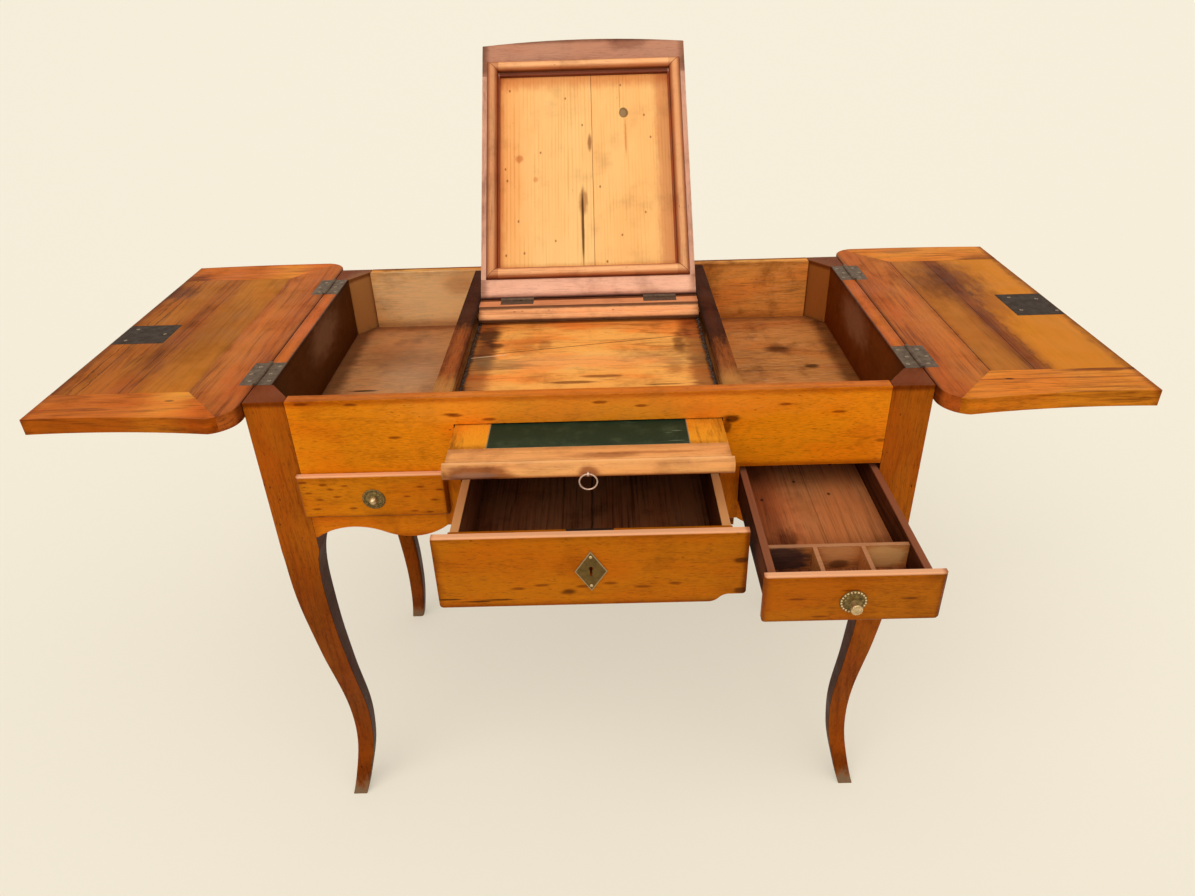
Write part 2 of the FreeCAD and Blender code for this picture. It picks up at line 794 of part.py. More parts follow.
def leaf_piece(label, side, regions):
    """The part of the leaf's outline that lies inside the regions."""
    body = new_body(label, (hinge_line_x * side, zero, hinge_line_z))
    extrude(body, "XY", leaf_foot, leaf_top, [leaf_outline(side)])
    reach = leaf_far * 2
    frame = rectangle(-reach, reach, -reach, reach)
    holes = [[(u * side, y) for u, y in region] for region in regions]
    extrude(body, "XY", leaf_foot, leaf_top, [frame, *holes], cut=True)
    return body


def leaf(name, side, plate_from, plate_low, plate_high):
    mitre_foot = leaf_clamp_line + S.leaf_mitre_rise
    stile = [
        (zero, -mitre_foot),
        (S.leaf_stile_width, -leaf_clamp_line),
        (S.leaf_stile_width, leaf_clamp_line),
        (zero, mitre_foot),
    ]
    far = leaf_far + S.leaf_corner_along
    edge = leaf_front + S.leaf_corner_along
    clamps = []
    for end in (-1, 1):
        clamps.append([
            (S.leaf_stile_width, leaf_clamp_line * end),
            (zero, mitre_foot * end),
            (zero, edge * end),
            (far, edge * end),
            (far, leaf_clamp_line * end),
        ])
    planks = rectangle(S.leaf_stile_width, far, -leaf_clamp_line, leaf_clamp_line)
    stile_body = leaf_piece(f"{name}_leaf_stile", side, [stile])
    clamp_body = leaf_piece(f"{name}_leaf_clamps", side, clamps)
    plank_body = leaf_piece(f"{name}_leaf_planks", side, [planks])
    # Tongues of the planks in grooves of the clamps
    t_low = leaf_foot + (S.top_thick - S.tenon_thick) / 2
    t_high = t_low + S.tenon_thick
    x_0, x_1 = both(side, S.leaf_stile_width + S.tongue_long, leaf_far - S.tongue_long)
    for end in (-1, 1):
        y_0, y_1 = both(end, leaf_clamp_line, leaf_clamp_line + S.tongue_long)
        box(plank_body, x_0, x_1, y_0, y_1, t_low, t_high)
        box(clamp_body, x_0, x_1, y_0, y_1, t_low, t_high, cut=True)
    # Iron lock plate let in flush near the far edge
    x_0, x_1 = both(side, plate_from, leaf_far - S.hinge_seam * 2)
    box(plank_body, x_0, x_1, plate_low, plate_high, leaf_top - S.plate_thick, leaf_top, cut=True)
    at = (hinge_line_x * side, zero, hinge_line_z)
    lock_plate = new_body(f"{name}_leaf_lock_plate", at)
    box(lock_plate, x_0, x_1, plate_low, plate_high, leaf_top - S.plate_thick, leaf_top)
    # Hinge plates let in beside the seam
    plates = new_body(f"{name}_leaf_hinge_plates", at)
    x_0, x_1 = both(side, S.plate_start, S.plate_start + plate_wide)
    n_0, n_1 = both(side, S.hinge_seam, S.plate_start + S.seat_gap)
    k_0, k_1 = both(side, zero, S.plate_start + S.seat_gap)
    for end in (-1, 1):
        y_0, y_1 = both(end, hinge_centre - S.hinge_half, hinge_centre + S.hinge_half)
        box(plates, x_0, x_1, y_0, y_1, leaf_top - S.plate_thick, leaf_top)
        box(stile_body, x_0, x_1, y_0, y_1, leaf_top - S.plate_thick, leaf_top, cut=True)
        box(stile_body, n_0, n_1, y_0, y_1, leaf_top - S.knuckle_notch, leaf_top, cut=True)
        for low, high in knuckle_spans(hinge_centre * end, S.hinge_half, True):
            box(plates, k_0, k_1, low, high, leaf_top - S.plate_thick, leaf_top)
            extrude(plates, "XZ", low, high, [Circle(zero, zero, S.knuckle_radius)])
    extrude(plates, "XZ", -half_depth, half_depth, [Circle(zero, zero, S.knuckle_bore)], cut=True)


leaf("left", -1, left_plate_start, S.left_plate_low, S.left_plate_high)
leaf("right", 1, lock_plate_start, S.lock_plate_low, S.lock_plate_high)

# Batten: land behind, step, rounded nose in front, and a bevelled foot behind
# the pin that the raised flap rests on. Drawn from the pin.
pin_at = (zero, pin_closed - S.carriage_out, hinge_line_z)
batten = new_body("carriage_batten", pin_at)
top = leaf_top
foot = centre_board_top + S.seat_gap * 2 - hinge_line_z
slope = Size(math.tan(math.radians(S.flap_lean.value)), "tan(Sizes.flap_lean * 1deg)")
rear_fall = top - foot
bevel_run = rear_fall / slope
profile = [
    (-S.batten_land_gap, top),
    (-S.batten_land_gap - S.batten_land, top),
    (-S.batten_land_gap - S.batten_land - S.batten_step_run, top - S.batten_step),
    (S.batten_nose - S.batten_front, top - S.batten_step, Bend(S.batten_nose, False)),
    (-S.batten_front, top - S.batten_step - S.batten_nose),
    (-S.batten_front, foot),
    (S.batten_land_gap + bevel_run, foot),
    (S.batten_land_gap, top),
]
reach = S.partition_inner - S.seat_gap * 2
extrude(batten, "YZ", -reach, reach, [profile])
tongue_low = groove_low + S.seat_gap - hinge_line_z
tongue_high = groove_high - S.seat_gap - hinge_line_z
reach = S.partition_inner + S.groove_depth - S.seat_gap * 2
box(batten, -reach, reach, -S.batten_front + S.batten_nose, S.batten_land_gap, tongue_low, tongue_high)

# Flap, drawn closed: it runs forward (-Y) from the pin with its mirror side down
open_turn = -(S.flap_lean + right_angle)
flap_low = S.seat_gap / 2
flap_high = flap_low + S.top_thick
flap_rear = -S.flap_edge_gap
flap_tip = -S.flap_edge_gap - flap_length
clamp_bend = (flap_half * flap_half + S.flap_crest * S.flap_crest) / (S.flap_crest * 2)
rear_line = flap_rear - S.flap_rear_clamp
front_line = flap_tip + S.flap_front_clamp
inner_x = flap_half - S.flap_stile

clamps = new_body("flap_clamps", pin_at, open_turn)
box(clamps, -flap_half, flap_half, rear_line, flap_rear, flap_low, flap_high)
outline = [
    (-flap_half, front_line),
    (-flap_half, flap_tip, Bend(clamp_bend, False)),
    (flap_half, flap_tip),
    (flap_half, front_line),
]
extrude(clamps, "XY", flap_low, flap_high, [outline])

stiles = new_body("flap_stiles", pin_at, open_turn)
for side in (-1, 1):
    x_0, x_1 = both(side, inner_x, flap_half)
    box(stiles, x_0, x_1, front_line, rear_line, flap_low, flap_high)

panel_low = flap_low + S.panel_recess
backboards = new_body("flap_backboards", pin_at, open_turn)
box(backboards, -inner_x, inner_x, front_line, rear_line, panel_low, panel_low + S.panel_thick)
show_panel = new_body("flap_show_panel", pin_at, open_turn)
box(show_panel, -inner_x, inner_x, front_line, rear_line, panel_low + S.panel_thick, flap_high)

moulding = new_body("mirror_moulding", pin_at, open_turn)
outer = rectangle(S.moulding_inset - flap_half, flap_half - S.moulding_inset,
                  flap_tip + moulding_front, rear_line)
inner_reach = flap_half - S.moulding_inset - S.moulding_wide
inner = rectangle(-inner_reach, inner_reach,
                  flap_tip + moulding_front + S.moulding_wide, rear_line - S.moulding_wide)
extrude(moulding, "XY", flap_low - S.moulding_high, flap_low, [outer, inner])
low_level = flap_low - S.moulding_high
ease(moulding, "Fillet", S.moulding_round, lambda edge, middle: near(middle.z, low_level))

# Flap hinges: plates let into the flap's rear edge and into the batten's bevel
flap_plates = new_body("flap_hinge_plates", pin_at, open_turn)
bed_low = flap_low + S.flap_knuckle_radius + S.seat_gap
for side in (-1, 1):
    x_0, x_1 = both(side, S.flap_hinge_centre - S.flap_hinge_half, S.flap_hinge_centre + S.flap_hinge_half)
    bed = (x_0, x_1, flap_rear - S.plate_thick, flap_rear, bed_low, bed_low + S.flap_plate_wide)
    box(flap_plates, *bed)
    box(clamps, *bed, cut=True)
    box(clamps, x_0, x_1, -S.flap_notch, flap_rear, flap_low, bed_low, cut=True)
    for low, high in knuckle_spans(S.flap_hinge_centre * side, S.flap_hinge_half, True):
        box(flap_plates, low, high, flap_rear - S.plate_thick / 4, zero - S.plate_thick / 2,
            zero, bed_low + S.seat_gap)
        extrude(flap_plates, "YZ", low, high, [Circle(zero, zero, S.flap_knuckle_radius)])
extrude(flap_plates, "YZ", -flap_half, flap_half, [Circle(zero, zero, S.knuckle_bore)], cut=True)

batten_plates = new_body("batten_hinge_plates", pin_at)
flap_pins = new_body("flap_hinge_pins", pin_at)
for side in (-1, 1):
    x_0, x_1 = both(side, S.flap_hinge_centre - S.flap_hinge_half, S.flap_hinge_centre + S.flap_hinge_half)
    bed = [
        (-S.batten_land_gap - S.flap_plate_wide, top),
        (-S.batten_land_gap - S.flap_plate_wide, top - S.plate_thick),
        (-S.batten_land_gap, top - S.plate_thick),
        (-S.batten_land_gap, top),
    ]
    extrude(batten_plates, "YZ", x_0, x_1, [bed])
    extrude(batten, "YZ", x_0, x_1, [bed], cut=True)
    room = rectangle(-S.batten_land_gap, S.batten_land_gap * 2, -S.batten_land_gap, top)
    extrude(batten, "YZ", x_0, x_1, [room], cut=True)
    for low, high in knuckle_spans(S.flap_hinge_centre * side, S.flap_hinge_half, False):
        arm = rectangle(-S.batten_land_gap - S.seat_gap, zero, top - S.plate_thick, top)
        extrude(batten_plates, "YZ", low, high, [arm])
        extrude(batten_plates, "YZ", low, high, [Circle(zero, zero, S.flap_knuckle_radius)])
    extrude(flap_pins, "YZ", x_0, x_1, [Circle(zero, zero, S.hinge_pin_radius)])
extrude(batten_plates, "YZ", -flap_half, flap_half, [Circle(zero, zero, S.knuckle_bore)], cut=True)

# Writing slide, drawn closed: its nose stands in front of the case
slide_at = (zero, -S.slide_out, zero)
slide_low = slot_low + S.slide_rise
slide_high = slide_low + S.slide_thick
nose_back = -half_depth - S.seat_gap
nose_front = nose_back - S.slide_nose
rail_back = S.slide_rail - half_depth
slide_end = rail_back + slide_length
field_half = slide_half - S.slide_stile

slide_rail_body = new_body("writing_slide_front_rail", slide_at)
box(slide_rail_body, -slide_half, slide_half, nose_back, rail_back, slide_low, slide_high)
wide = slide_half + S.slide_nose_side
box(slide_rail_body, -wide, wide, nose_front, nose_back, slide_low, slide_high)
ease(slide_rail_body, "Fillet", S.slide_nose_round,
     lambda edge, middle: near(middle.y, nose_front) and near(abs(edge.tangentAt(edge.FirstParameter).x), 1)
     and near(edge.Length, wide * 2))

slide_stiles = new_body("writing_slide_stiles", slide_at)
for side in (-1, 1):
    x_0, x_1 = both(side, field_half, slide_half)
    box(slide_stiles, x_0, x_1, rail_back, slide_end, slide_low, slide_high)
slide_board = new_body("writing_slide_board", slide_at)
board_high = slide_high - S.leather_thick - S.seat_gap
box(slide_board, -field_half, field_half, rail_back, slide_end, slide_low, board_high)
leather = new_body("writing_slide_leather", slide_at)
box(leather, -field_half, field_half, rail_back, slide_end - S.slide_stile, board_high,
    board_high + S.leather_thick)

# Staple and ring of the writing slide
eye_z = (slide_low + slide_high) / 2
eye_y = nose_front - S.eye_reach
staple = new_body("ring_staple", (zero, eye_y - S.slide_out, eye_z))
extrude(staple, "YZ", -S.eye_wire, S.eye_wire, [Circle(zero, zero, S.eye_radius)])
shank = rectangle(S.eye_radius / 2, S.eye_reach, -S.eye_wire, S.eye_wire)
extrude(staple, "YZ", -S.eye_wire, S.eye_wire, [shank])
hole_radius = S.eye_radius - S.eye_wire * eye_bore_share
extrude(staple, "YZ", -S.eye_wire, S.eye_wire, [Circle(zero, zero, hole_radius)], cut=True)

ring = new_body("pull_ring", (zero, eye_y - S.slide_out, eye_z))
wire_outline = []
for index in range(ring_flat_count):
    angle = math.tau * (index + 0.5) / ring_flat_count
    across = S.ring_wire * round(math.cos(angle), 4)
    wire_outline.append((across, S.ring_wire * round(math.sin(angle), 4) - S.ring_radius * 2))
ring_sketch = draw(ring, "YZ", zero, [wire_outline])
axis_start = FreeCAD.Vector(-S.ring_wire.value, -S.ring_radius.value, 0)
axis_end = FreeCAD.Vector(S.ring_wire.value, -S.ring_radius.value, 0)
ring_axis = ring_sketch.addGeometry(Part.LineSegment(axis_start, axis_end), True)
for point, place in ((1, -S.ring_wire), (2, S.ring_wire)):
    tie(ring_sketch, "DistanceX", ring_axis, point, place)
    tie(ring_sketch, "DistanceY", ring_axis, point, -S.ring_radius)
ring_turn = ring.newObject("PartDesign::Revolution", "ring_turn")
ring_turn.Profile = ring_sketch
ring_turn.ReferenceAxis = (ring_sketch, ["Axis0"])
ring_turn.Angle = 360
ring.Tip = ring_turn

# Drawers, drawn closed


def drawer_box(label, at, x_0, x_1, low, high, length, wall):
    """Two sides and a back as one dovetailed frame, open in front and below."""
    body = new_body(label, at)
    start = S.block_thick - half_depth
    end = start + length
    box(body, x_0, x_1, start, end, low, high)
    box(body, x_0 + wall, x_1 - wall, start, end - wall, low, high, cut=True)
    return body


def drawer_bottom(label, at, x_0, x_1, low, length, wall):
    body = new_body(label, at)
    start = S.block_thick - half_depth
    base = low + S.bottom_rise
    box(body, x_0 + wall, x_1 - wall, start, start + length - wall, base, base + S.bottom_thick)
    return body


def side_drawer(name, side, out, reach, girth, shares):
    """A side drawer pulled out by a length, its knob shaped by shares of reach and girth."""
    at = (zero, -out, zero)
    f_0, f_1 = both(side, side_front_inner, side_front_outer)
    b_0, b_1 = both(side, side_box_inner, side_box_outer)
    front = new_body(f"{name}_drawer_front", at)
    back = -half_depth - S.seat_gap
    box(front, f_0, f_1, back - S.lip_thick, back, side_front_low, side_front_high)
    face = back - S.lip_thick
    ease(front, "Fillet", S.lip_corner,
         lambda edge, middle: runs_back(edge) and near(middle.z, side_front_low))
    ease(front, "Chamfer", S.lip_bevel, lambda edge, middle: near(middle.y, face))
    box(front, b_0, b_1, back, S.block_thick - half_depth, side_box_low, side_box_high)
    drawer_box(f"{name}_drawer_box", at, b_0, b_1, side_box_low, side_box_high,
               side_box_length, S.side_wall)
    drawer_bottom(f"{name}_drawer_bottom", at, b_0, b_1, side_box_low, side_box_length, S.side_wall)
    knob_x = (f_0 + f_1) / 2
    knob_z = side_front_low + (side_front_high - side_front_low) * knob_height_share
    knob = new_body(f"{name}_drawer_knob", (knob_x, face - out, knob_z))
    profile = [(zero, zero), (S.rosette_radius, zero), (S.rosette_radius, -S.rosette_thick)]
    profile.append((S.knob_stem, -S.rosette_thick))
    for reach_share, girth_share in shares:
        profile.append((girth * girth_share, -reach * reach_share))
    profile.append((zero, -reach))
    knob_sketch = draw(knob, "XY", zero, [profile])
    turned = knob.newObject("PartDesign::Revolution", f"{name}_knob_turn")
    turned.Profile = knob_sketch
    turned.ReferenceAxis = (knob_sketch, ["V_Axis"])
    turned.Angle = 360
    knob.Tip = turned
    return at, b_0, b_1


side_drawer("left", -1, zero, S.left_knob_reach, S.left_knob_radius, left_knob_shares)
at, b_0, b_1 = side_drawer(
    "right", 1, S.right_out, S.right_knob_reach, S.right_knob_radius, right_knob_shares
)

# Compartments in the front of the right drawer
dividers = new_body("right_drawer_dividers", at)
well_0, well_1 = b_0 + S.side_wall, b_1 - S.side_wall
floor = side_box_low + S.bottom_rise + S.bottom_thick
start = S.block_thick - half_depth
rear = start + S.divider_back
box(dividers, well_0, well_1, rear, rear + S.divider_thick, floor, floor + S.divider_high)
for share in (divider_first_share, divider_second_share):
    middle = well_0 + (well_1 - well_0) * share
    box(dividers, middle - S.divider_thick / 2, middle + S.divider_thick / 2, start, rear,
        floor, floor + S.divider_high)

# Centre drawer, its front cut with an S at the lower right end
at = (zero, -S.centre_out, zero)
centre_front = new_body("centre_drawer_front", at)
back = -half_depth - S.seat_gap
low = centre_front_low
middle_x = (centre_step_from + centre_step_to) / 2
outline = [
    (-centre_front_half, low),
    (centre_step_from, low, Bend(S.centre_step_bend, False)),
    (middle_x, low + S.centre_step_high / 2, Bend(S.centre_step_bend, True)),
    (centre_step_to, low + S.centre_step_high),
    (centre_front_half, low + S.centre_step_high),
    (centre_front_half, centre_front_high),
    (-centre_front_half, centre_front_high),
]
extrude(centre_front, "XZ", back - S.lip_thick, back, [outline])
face = back - S.lip_thick
corner_heights = (low, low + S.centre_step_high)
ease(centre_front, "Fillet", S.lip_corner,
     lambda edge, middle: runs_back(edge) and near(abs(middle.x), centre_front_half)
     and any(near(middle.z, height) for height in corner_heights))
ease(centre_front, "Fillet", S.lip_bevel,
     lambda edge, middle: near(middle.y, face) and near(middle.z, centre_front_high))
box(centre_front, -centre_box_half, centre_box_half, back, S.block_thick - half_depth,
    centre_box_low, centre_front_high - S.lip_bevel)
drawer_box("centre_drawer_box", at, -centre_box_half, centre_box_half, centre_box_low,
           centre_box_high, centre_box_length, S.centre_wall)
drawer_bottom("centre_drawer_bottom", at, -centre_box_half, centre_box_half, centre_box_low,
              centre_box_length, S.centre_wall)

# Lozenge escutcheon with its keyhole
middle_z = (centre_front_low + centre_front_high) / 2
escutcheon = new_body("escutcheon", at)
outline = [
    (zero, middle_z - S.lozenge_half_high),
    (S.lozenge_half_wide, middle_z),
    (zero, middle_z + S.lozenge_half_high),
    (-S.lozenge_half_wide, middle_z),
]
extrude(escutcheon, "XZ", face - S.lozenge_thick, face, [outline])
key_z = middle_z + S.keyhole_rise
for body, front_y, back_y in (
    (escutcheon, face - S.lozenge_thick, face),
    (centre_front, face, S.block_thick - half_depth),
):
    extrude(body, "XZ", front_y, back_y, [Circle(zero, key_z, S.keyhole_radius)], cut=True)
    slit = rectangle(-S.keyhole_slot, S.keyhole_slot, key_z - S.keyhole_drop, key_z)
    extrude(body, "XZ", front_y, back_y, [slit], cut=True)

# Lock let into the back of the centre drawer's front, with its bolt down
lock_top = centre_front_high - S.lip_bevel
lock_low = lock_top - S.lock_high
lock_back = back + S.lock_thick
lock_case = new_body("drawer_lock_case", at)
box(centre_front, -S.lock_half, S.lock_half, back, S.block_thick - half_depth, lock_low, lock_top, cut=True)
box(lock_case, -S.lock_half, S.lock_half, back, lock_back, lock_low, lock_top)
room = S.bolt_half + S.seat_gap
box(lock_case, -room, room, bolt_y - S.seat_gap, bolt_y + S.bolt_thick + S.seat_gap,
    lock_low + S.lock_wall, lock_top, cut=True)
extrude(lock_case, "XZ", back, bolt_y, [Circle(zero, key_z, S.keyhole_radius)], cut=True)
bolt = new_body("drawer_lock_bolt", at)
bolt_low = lock_top - S.bolt_long
box(bolt, -S.bolt_half, S.bolt_half, bolt_y, bolt_y + S.bolt_thick, bolt_low, lock_top)

# Write the pieces
doc.recompute()
faults = [item.Label for item in doc.Objects if "Invalid" in item.State or "Error" in item.State]
if faults:
    raise RuntimeError(f"these objects failed: {faults}")
for body in bodies:
    shape = body.Shape
    if shape.isNull() or not shape.isValid():
        raise RuntimeError(f"{body.Label} has no valid shape")
for body in bodies:
    body.Shape.exportStep(f"parts/{body.Label}.step")
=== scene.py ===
import json
import math
import random
from dataclasses import dataclass

import bmesh
import bpy
from bpy.props import FloatProperty, FloatVectorProperty, IntProperty, PointerProperty
from mathutils import Euler, Matrix, Vector


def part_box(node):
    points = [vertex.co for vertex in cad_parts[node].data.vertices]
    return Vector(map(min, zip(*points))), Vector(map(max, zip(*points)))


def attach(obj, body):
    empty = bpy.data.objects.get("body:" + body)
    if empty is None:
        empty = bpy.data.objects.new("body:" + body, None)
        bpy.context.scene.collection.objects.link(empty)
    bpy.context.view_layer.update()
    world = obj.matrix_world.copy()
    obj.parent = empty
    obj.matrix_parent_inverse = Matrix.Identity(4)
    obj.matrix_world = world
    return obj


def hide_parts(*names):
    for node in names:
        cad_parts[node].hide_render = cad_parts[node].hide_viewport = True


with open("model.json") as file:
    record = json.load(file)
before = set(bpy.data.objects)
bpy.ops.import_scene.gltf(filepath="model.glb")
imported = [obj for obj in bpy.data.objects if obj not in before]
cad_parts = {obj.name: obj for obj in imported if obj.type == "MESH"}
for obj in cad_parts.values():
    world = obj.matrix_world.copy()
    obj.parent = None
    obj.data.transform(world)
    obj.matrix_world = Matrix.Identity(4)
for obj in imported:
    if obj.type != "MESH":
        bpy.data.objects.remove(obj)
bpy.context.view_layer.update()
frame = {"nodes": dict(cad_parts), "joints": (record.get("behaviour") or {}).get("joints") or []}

bl_info = {
    "name": "Poudreuse finish",
    "version": (1, 0, 0),
    "blender": (4, 5, 0),
    "location": "3D View > Sidebar > Poudreuse",
    "description": "Finishes, fittings and stage of a small dressing table with folding leaves",
    "category": "Object",
}


def linear(code):
    """An sRGB hex code as linear red, green and blue."""
    shares = [int(code[i : i + 2], 16) / 255 for i in (1, 3, 5)]
    return [c / 12.92 if c <= 0.04045 else ((c + 0.055) / 1.055) ** 2.4 for c in shares]


def colour(name, description, code):
    return FloatVectorProperty(
        name=name, description=description, subtype="COLOR", size=3, min=0, max=1,
        default=linear(code),
    )


def length(name, description, millimetres):
    return FloatProperty(
        name=name, description=description, unit="LENGTH", min=0, default=millimetres / 1000
    )


class PoudreuseWoods(bpy.types.PropertyGroup):
    case: colour("Case", "Waxed fruitwood of the case and the drawer fronts", "#E2820E")
    leg: colour("Legs", "Darker waxed fruitwood of the legs", "#A0520C")
    leaf: colour("Leaves", "Walnut of the two side leaves", "#BC6C2C")
    gold: colour("Leaf clamps", "Golden walnut of the leaves' ends", "#D68028")
    bare: colour("Bare boards", "Unpolished boards inside the wells", "#DC9C58")
    board: colour("Centre board", "Golden board of the centre well", "#F1A44E")
    lining: colour("Drawer linings", "Old dry wood of the drawers", "#7C4B2E")
    tray: colour("Right drawer", "Reddish wood of the right drawer", "#A6663E")
    flap: colour("Flap frame", "Pinkish rubbed frame of the flap", "#EDB090")
    mould: colour("Mouldings", "Scraped mouldings, batten and slide rail", "#F8B47B")
    pine: colour("Pine", "Bare pine behind the lost mirror", "#F8C078")


class PoudreuseFittings(bpy.types.PropertyGroup):
    brass: colour("Brass", "Old brass of the roses", "#9A804C")
    brass_bright: colour("Brass, bright", "Rubbed brass of the grips", "#E8CCA0")
    brass_dark: colour("Brass, dark", "Tarnish in the hollows", "#3A3020")
    sheet: colour("Sheet brass", "Olive brown of the escutcheon", "#7E6434")
    sheet_dark: colour("Sheet brass, dark", "Tarnish of the escutcheon", "#4E3A1A")
    iron: colour("Iron", "Worn brown grey of the hinges", "#76604E")
    flap_iron: colour("Flap iron", "Brown iron of the flap's hinges", "#6C4C34")
    iron_dark: colour("Iron, dark", "Rusted hollows of the hinges", "#483A30")
    scale: colour("Scale", "Brown forge scale of the lock plates", "#2E1A0C")
    screw: colour("Screws", "Rubbed heads of the screws", "#B09C88")
    ring_iron: colour("Ring", "Pinkish bright iron of the ring pull", "#E0BCA8")
    leather: colour("Leather", "Dark green hide", "#1E2E1C")
    leather_worn: colour("Leather, worn", "Rubbed and scratched hide", "#5A6444")
    bead_count: IntProperty(name="Beads", description="Beads round each knob's rose", default=22, min=3)
    screw_radius: length("Screw radius", "Half the width of a hinge screw's head", 2.5)
    screw_rise: length("Screw rise", "How far a screw's head stands proud under the shut leaf", 0.1)
    ring_wire: length("Ring wire", "Half the thickness of the ring pull's wire", 1.05)


class PoudreuseEdges(bpy.types.PropertyGroup):
    board: length("Board edge", "Rounding of the case's worn edges", 0.9)
    fine: length("Fine edge", "Rounding of thin boards and joints", 0.45)
    leg: length("Leg edge", "Rounding of the legs' corners", 2.2)


class PoudreuseStage(bpy.types.PropertyGroup):
    paper: colour("Paper", "Cream of the floor and backdrop", "#F3EBD7")
    sky: FloatProperty(name="Sky", description="Even light from all round", default=0.56, min=0)
    key: FloatProperty(name="Key", description="Soft light from the front left", default=1.38, min=0)
    fill: FloatProperty(name="Fill", description="Soft light from the right", default=0.5, min=0)
    evenness: FloatProperty(
        name="Evenness", description="How far the paper looks evenly bright under the shadow",
        subtype="FACTOR", default=0.42, min=0, max=1,
    )
    softness: FloatProperty(
        name="Softness", description="How wide the lights look from the table", subtype="ANGLE",
        default=math.radians(60),
    )


GROUPS = {
    "poudreuse_woods": PoudreuseWoods,
    "poudreuse_fittings": PoudreuseFittings,
    "poudreuse_edges": PoudreuseEdges,
    "poudreuse_stage": PoudreuseStage,
}


MAP = "ShaderNodeMapping"
NOISE = "ShaderNodeTexNoise"
CELLS = "ShaderNodeTexVoronoi"
MATH = "ShaderNodeMath"
VECTOR = "ShaderNodeVectorMath"
RANGE = "ShaderNodeMapRange"
MIX = "ShaderNodeMix"
SPLIT = "ShaderNodeSeparateXYZ"
PLACES = "ShaderNodeTexCoord"
# Sockets of the mix node for colours
FACTOR, FIRST, SECOND, MIXED = 0, 6, 7, 2


def add(tree, kind, settings=None, links=None, output=0):
    """Add a node and give one of its outputs, or the node itself where output is None.

    In the settings, a lower-case key sets the node itself and any other key sets an input.
    """
    made = tree.nodes.new(kind)
    own = {k: v for k, v in (settings or {}).items() if isinstance(k, str) and k[0].islower()}
    for key, value in own.items():
        setattr(made, key, value)
    for key, value in (settings or {}).items():
        if key not in own:
            made.inputs[key].default_value = value
    for key, source in (links or {}).items():
        tree.links.new(source, made.inputs[key])
    return made if output is None else made.outputs[output]


def eased(low, high, to_low=0.0, to_high=1.0):
    """Settings that ease a value from one level to another."""
    return {
        "interpolation_type": "SMOOTHSTEP", "From Min": low, "From Max": high,
        "To Min": to_low, "To Max": to_high,
    }


def laid(code, blend="MULTIPLY"):
    """Settings that lay a colour, a hex code or linear shares, over another."""
    tone = linear(code) if isinstance(code, str) else code
    return {"data_type": "RGBA", "blend_type": blend, SECOND: (*tone[:3], 1)}


def chain(tree, operation, *values):
    """Sockets and numbers joined one after the other by a sum, a product or the like."""
    result = values[0]
    for value in values[1:]:
        settings, links = {"operation": operation}, {}
        for place, item in enumerate((result, value)):
            (settings if isinstance(item, (int, float)) else links)[place] = item
        result = add(tree, MATH, settings, links)
    return result


def new_tree(name):
    """An empty material, its tree and the socket that gives places in metres."""
    material = bpy.data.materials.new(name)
    material.use_nodes = True
    tree = material.node_tree
    tree.nodes.clear()
    place = add(tree, PLACES, output="Object")
    return material, tree, place


def finish_tree(tree, settings, links):
    shader = add(tree, "ShaderNodeBsdfPrincipled", settings, links)
    add(tree, "ShaderNodeOutputMaterial", {}, {"Surface": shader}, None)


def drawn_noise(tree, vector, along, across, detail=2.0, rough=0.5):
    """Noise drawn out along X; along and across are the sizes of its blots in millimetres."""
    drawn = add(tree, MAP, {"Scale": (1 / along, 1 / across, 1 / across)}, {"Vector": vector})
    return add(tree, NOISE, {"Scale": 1, "Detail": detail, "Roughness": rough}, {"Vector": drawn})


@dataclass
class Wood:
    """How a kind of wood is drawn: lengths in millimetres, depths from 0 to 1."""

    tone: str
    kind: str
    light: tuple = (1.3, 1.24, 1.1)
    dark: tuple = (0.4, 0.32, 0.28)
    ring: float = 8.0
    ring_depth: float = 0.22
    figure: float = 1.6
    figure_long: float = 260
    figure_wide: float = 42
    fibre_long: float = 20
    fibre_wide: float = 1.7
    fibre_depth: float = 0.5
    pores: float = 0.5
    pore_long: float = 8
    pore_wide: float = 1.3
    flecks: float = 0.5
    blotch: float = 0.4
    red: float = 0.35
    stain: float = 0.3
    scratches: float = 0.0
    wear: float = 0.3
    grime: float = 0.4
    rough: float = 0.46
    gloss: float = 0.3
    gloss_tint: str = "#FFC890"
    relief: float = 0.35


# Old waxed fruitwood, planed and rubbed: gold ground, short fine fibres, dark pores and worm marks
CASE = Wood(
    "case", "waxed_fruitwood", ring=9, ring_depth=0.1, fibre_long=10, fibre_wide=1.9, pores=0.6, flecks=0.7,
    blotch=0.25, gloss=0.2, gloss_tint="#FFA020",
)
# The same wood on the legs, darkened by hands and polish
LEG = Wood(
    "leg", "waxed_fruitwood", ring=9, ring_depth=0.16, figure=0.8, pores=0.8, flecks=1.3, blotch=0.6,
    wear=0.0, grime=0.0, gloss=0.1, gloss_tint="#FFA030",
)
# Planed walnut: brown with long streaks and a fine silky figure
LEAF = Wood(
    "leaf", "waxed_walnut", ring=11, ring_depth=0.26, figure=2.2, figure_long=420, figure_wide=50,
    fibre_long=60, fibre_wide=2.1, fibre_depth=0.6, pore_long=14, flecks=0.35, blotch=0.5, gloss=0.08,
    gloss_tint="#FFC070", rough=0.5,
)
# The same walnut, paler, across the leaves' ends
GOLD = Wood(
    "gold", "waxed_walnut", ring=14, ring_depth=0.26, fibre_long=50, fibre_wide=2.1, fibre_depth=0.8,
    pore_long=12, flecks=0.45, gloss=0.08, gloss_tint="#FFC070", rough=0.5,
)
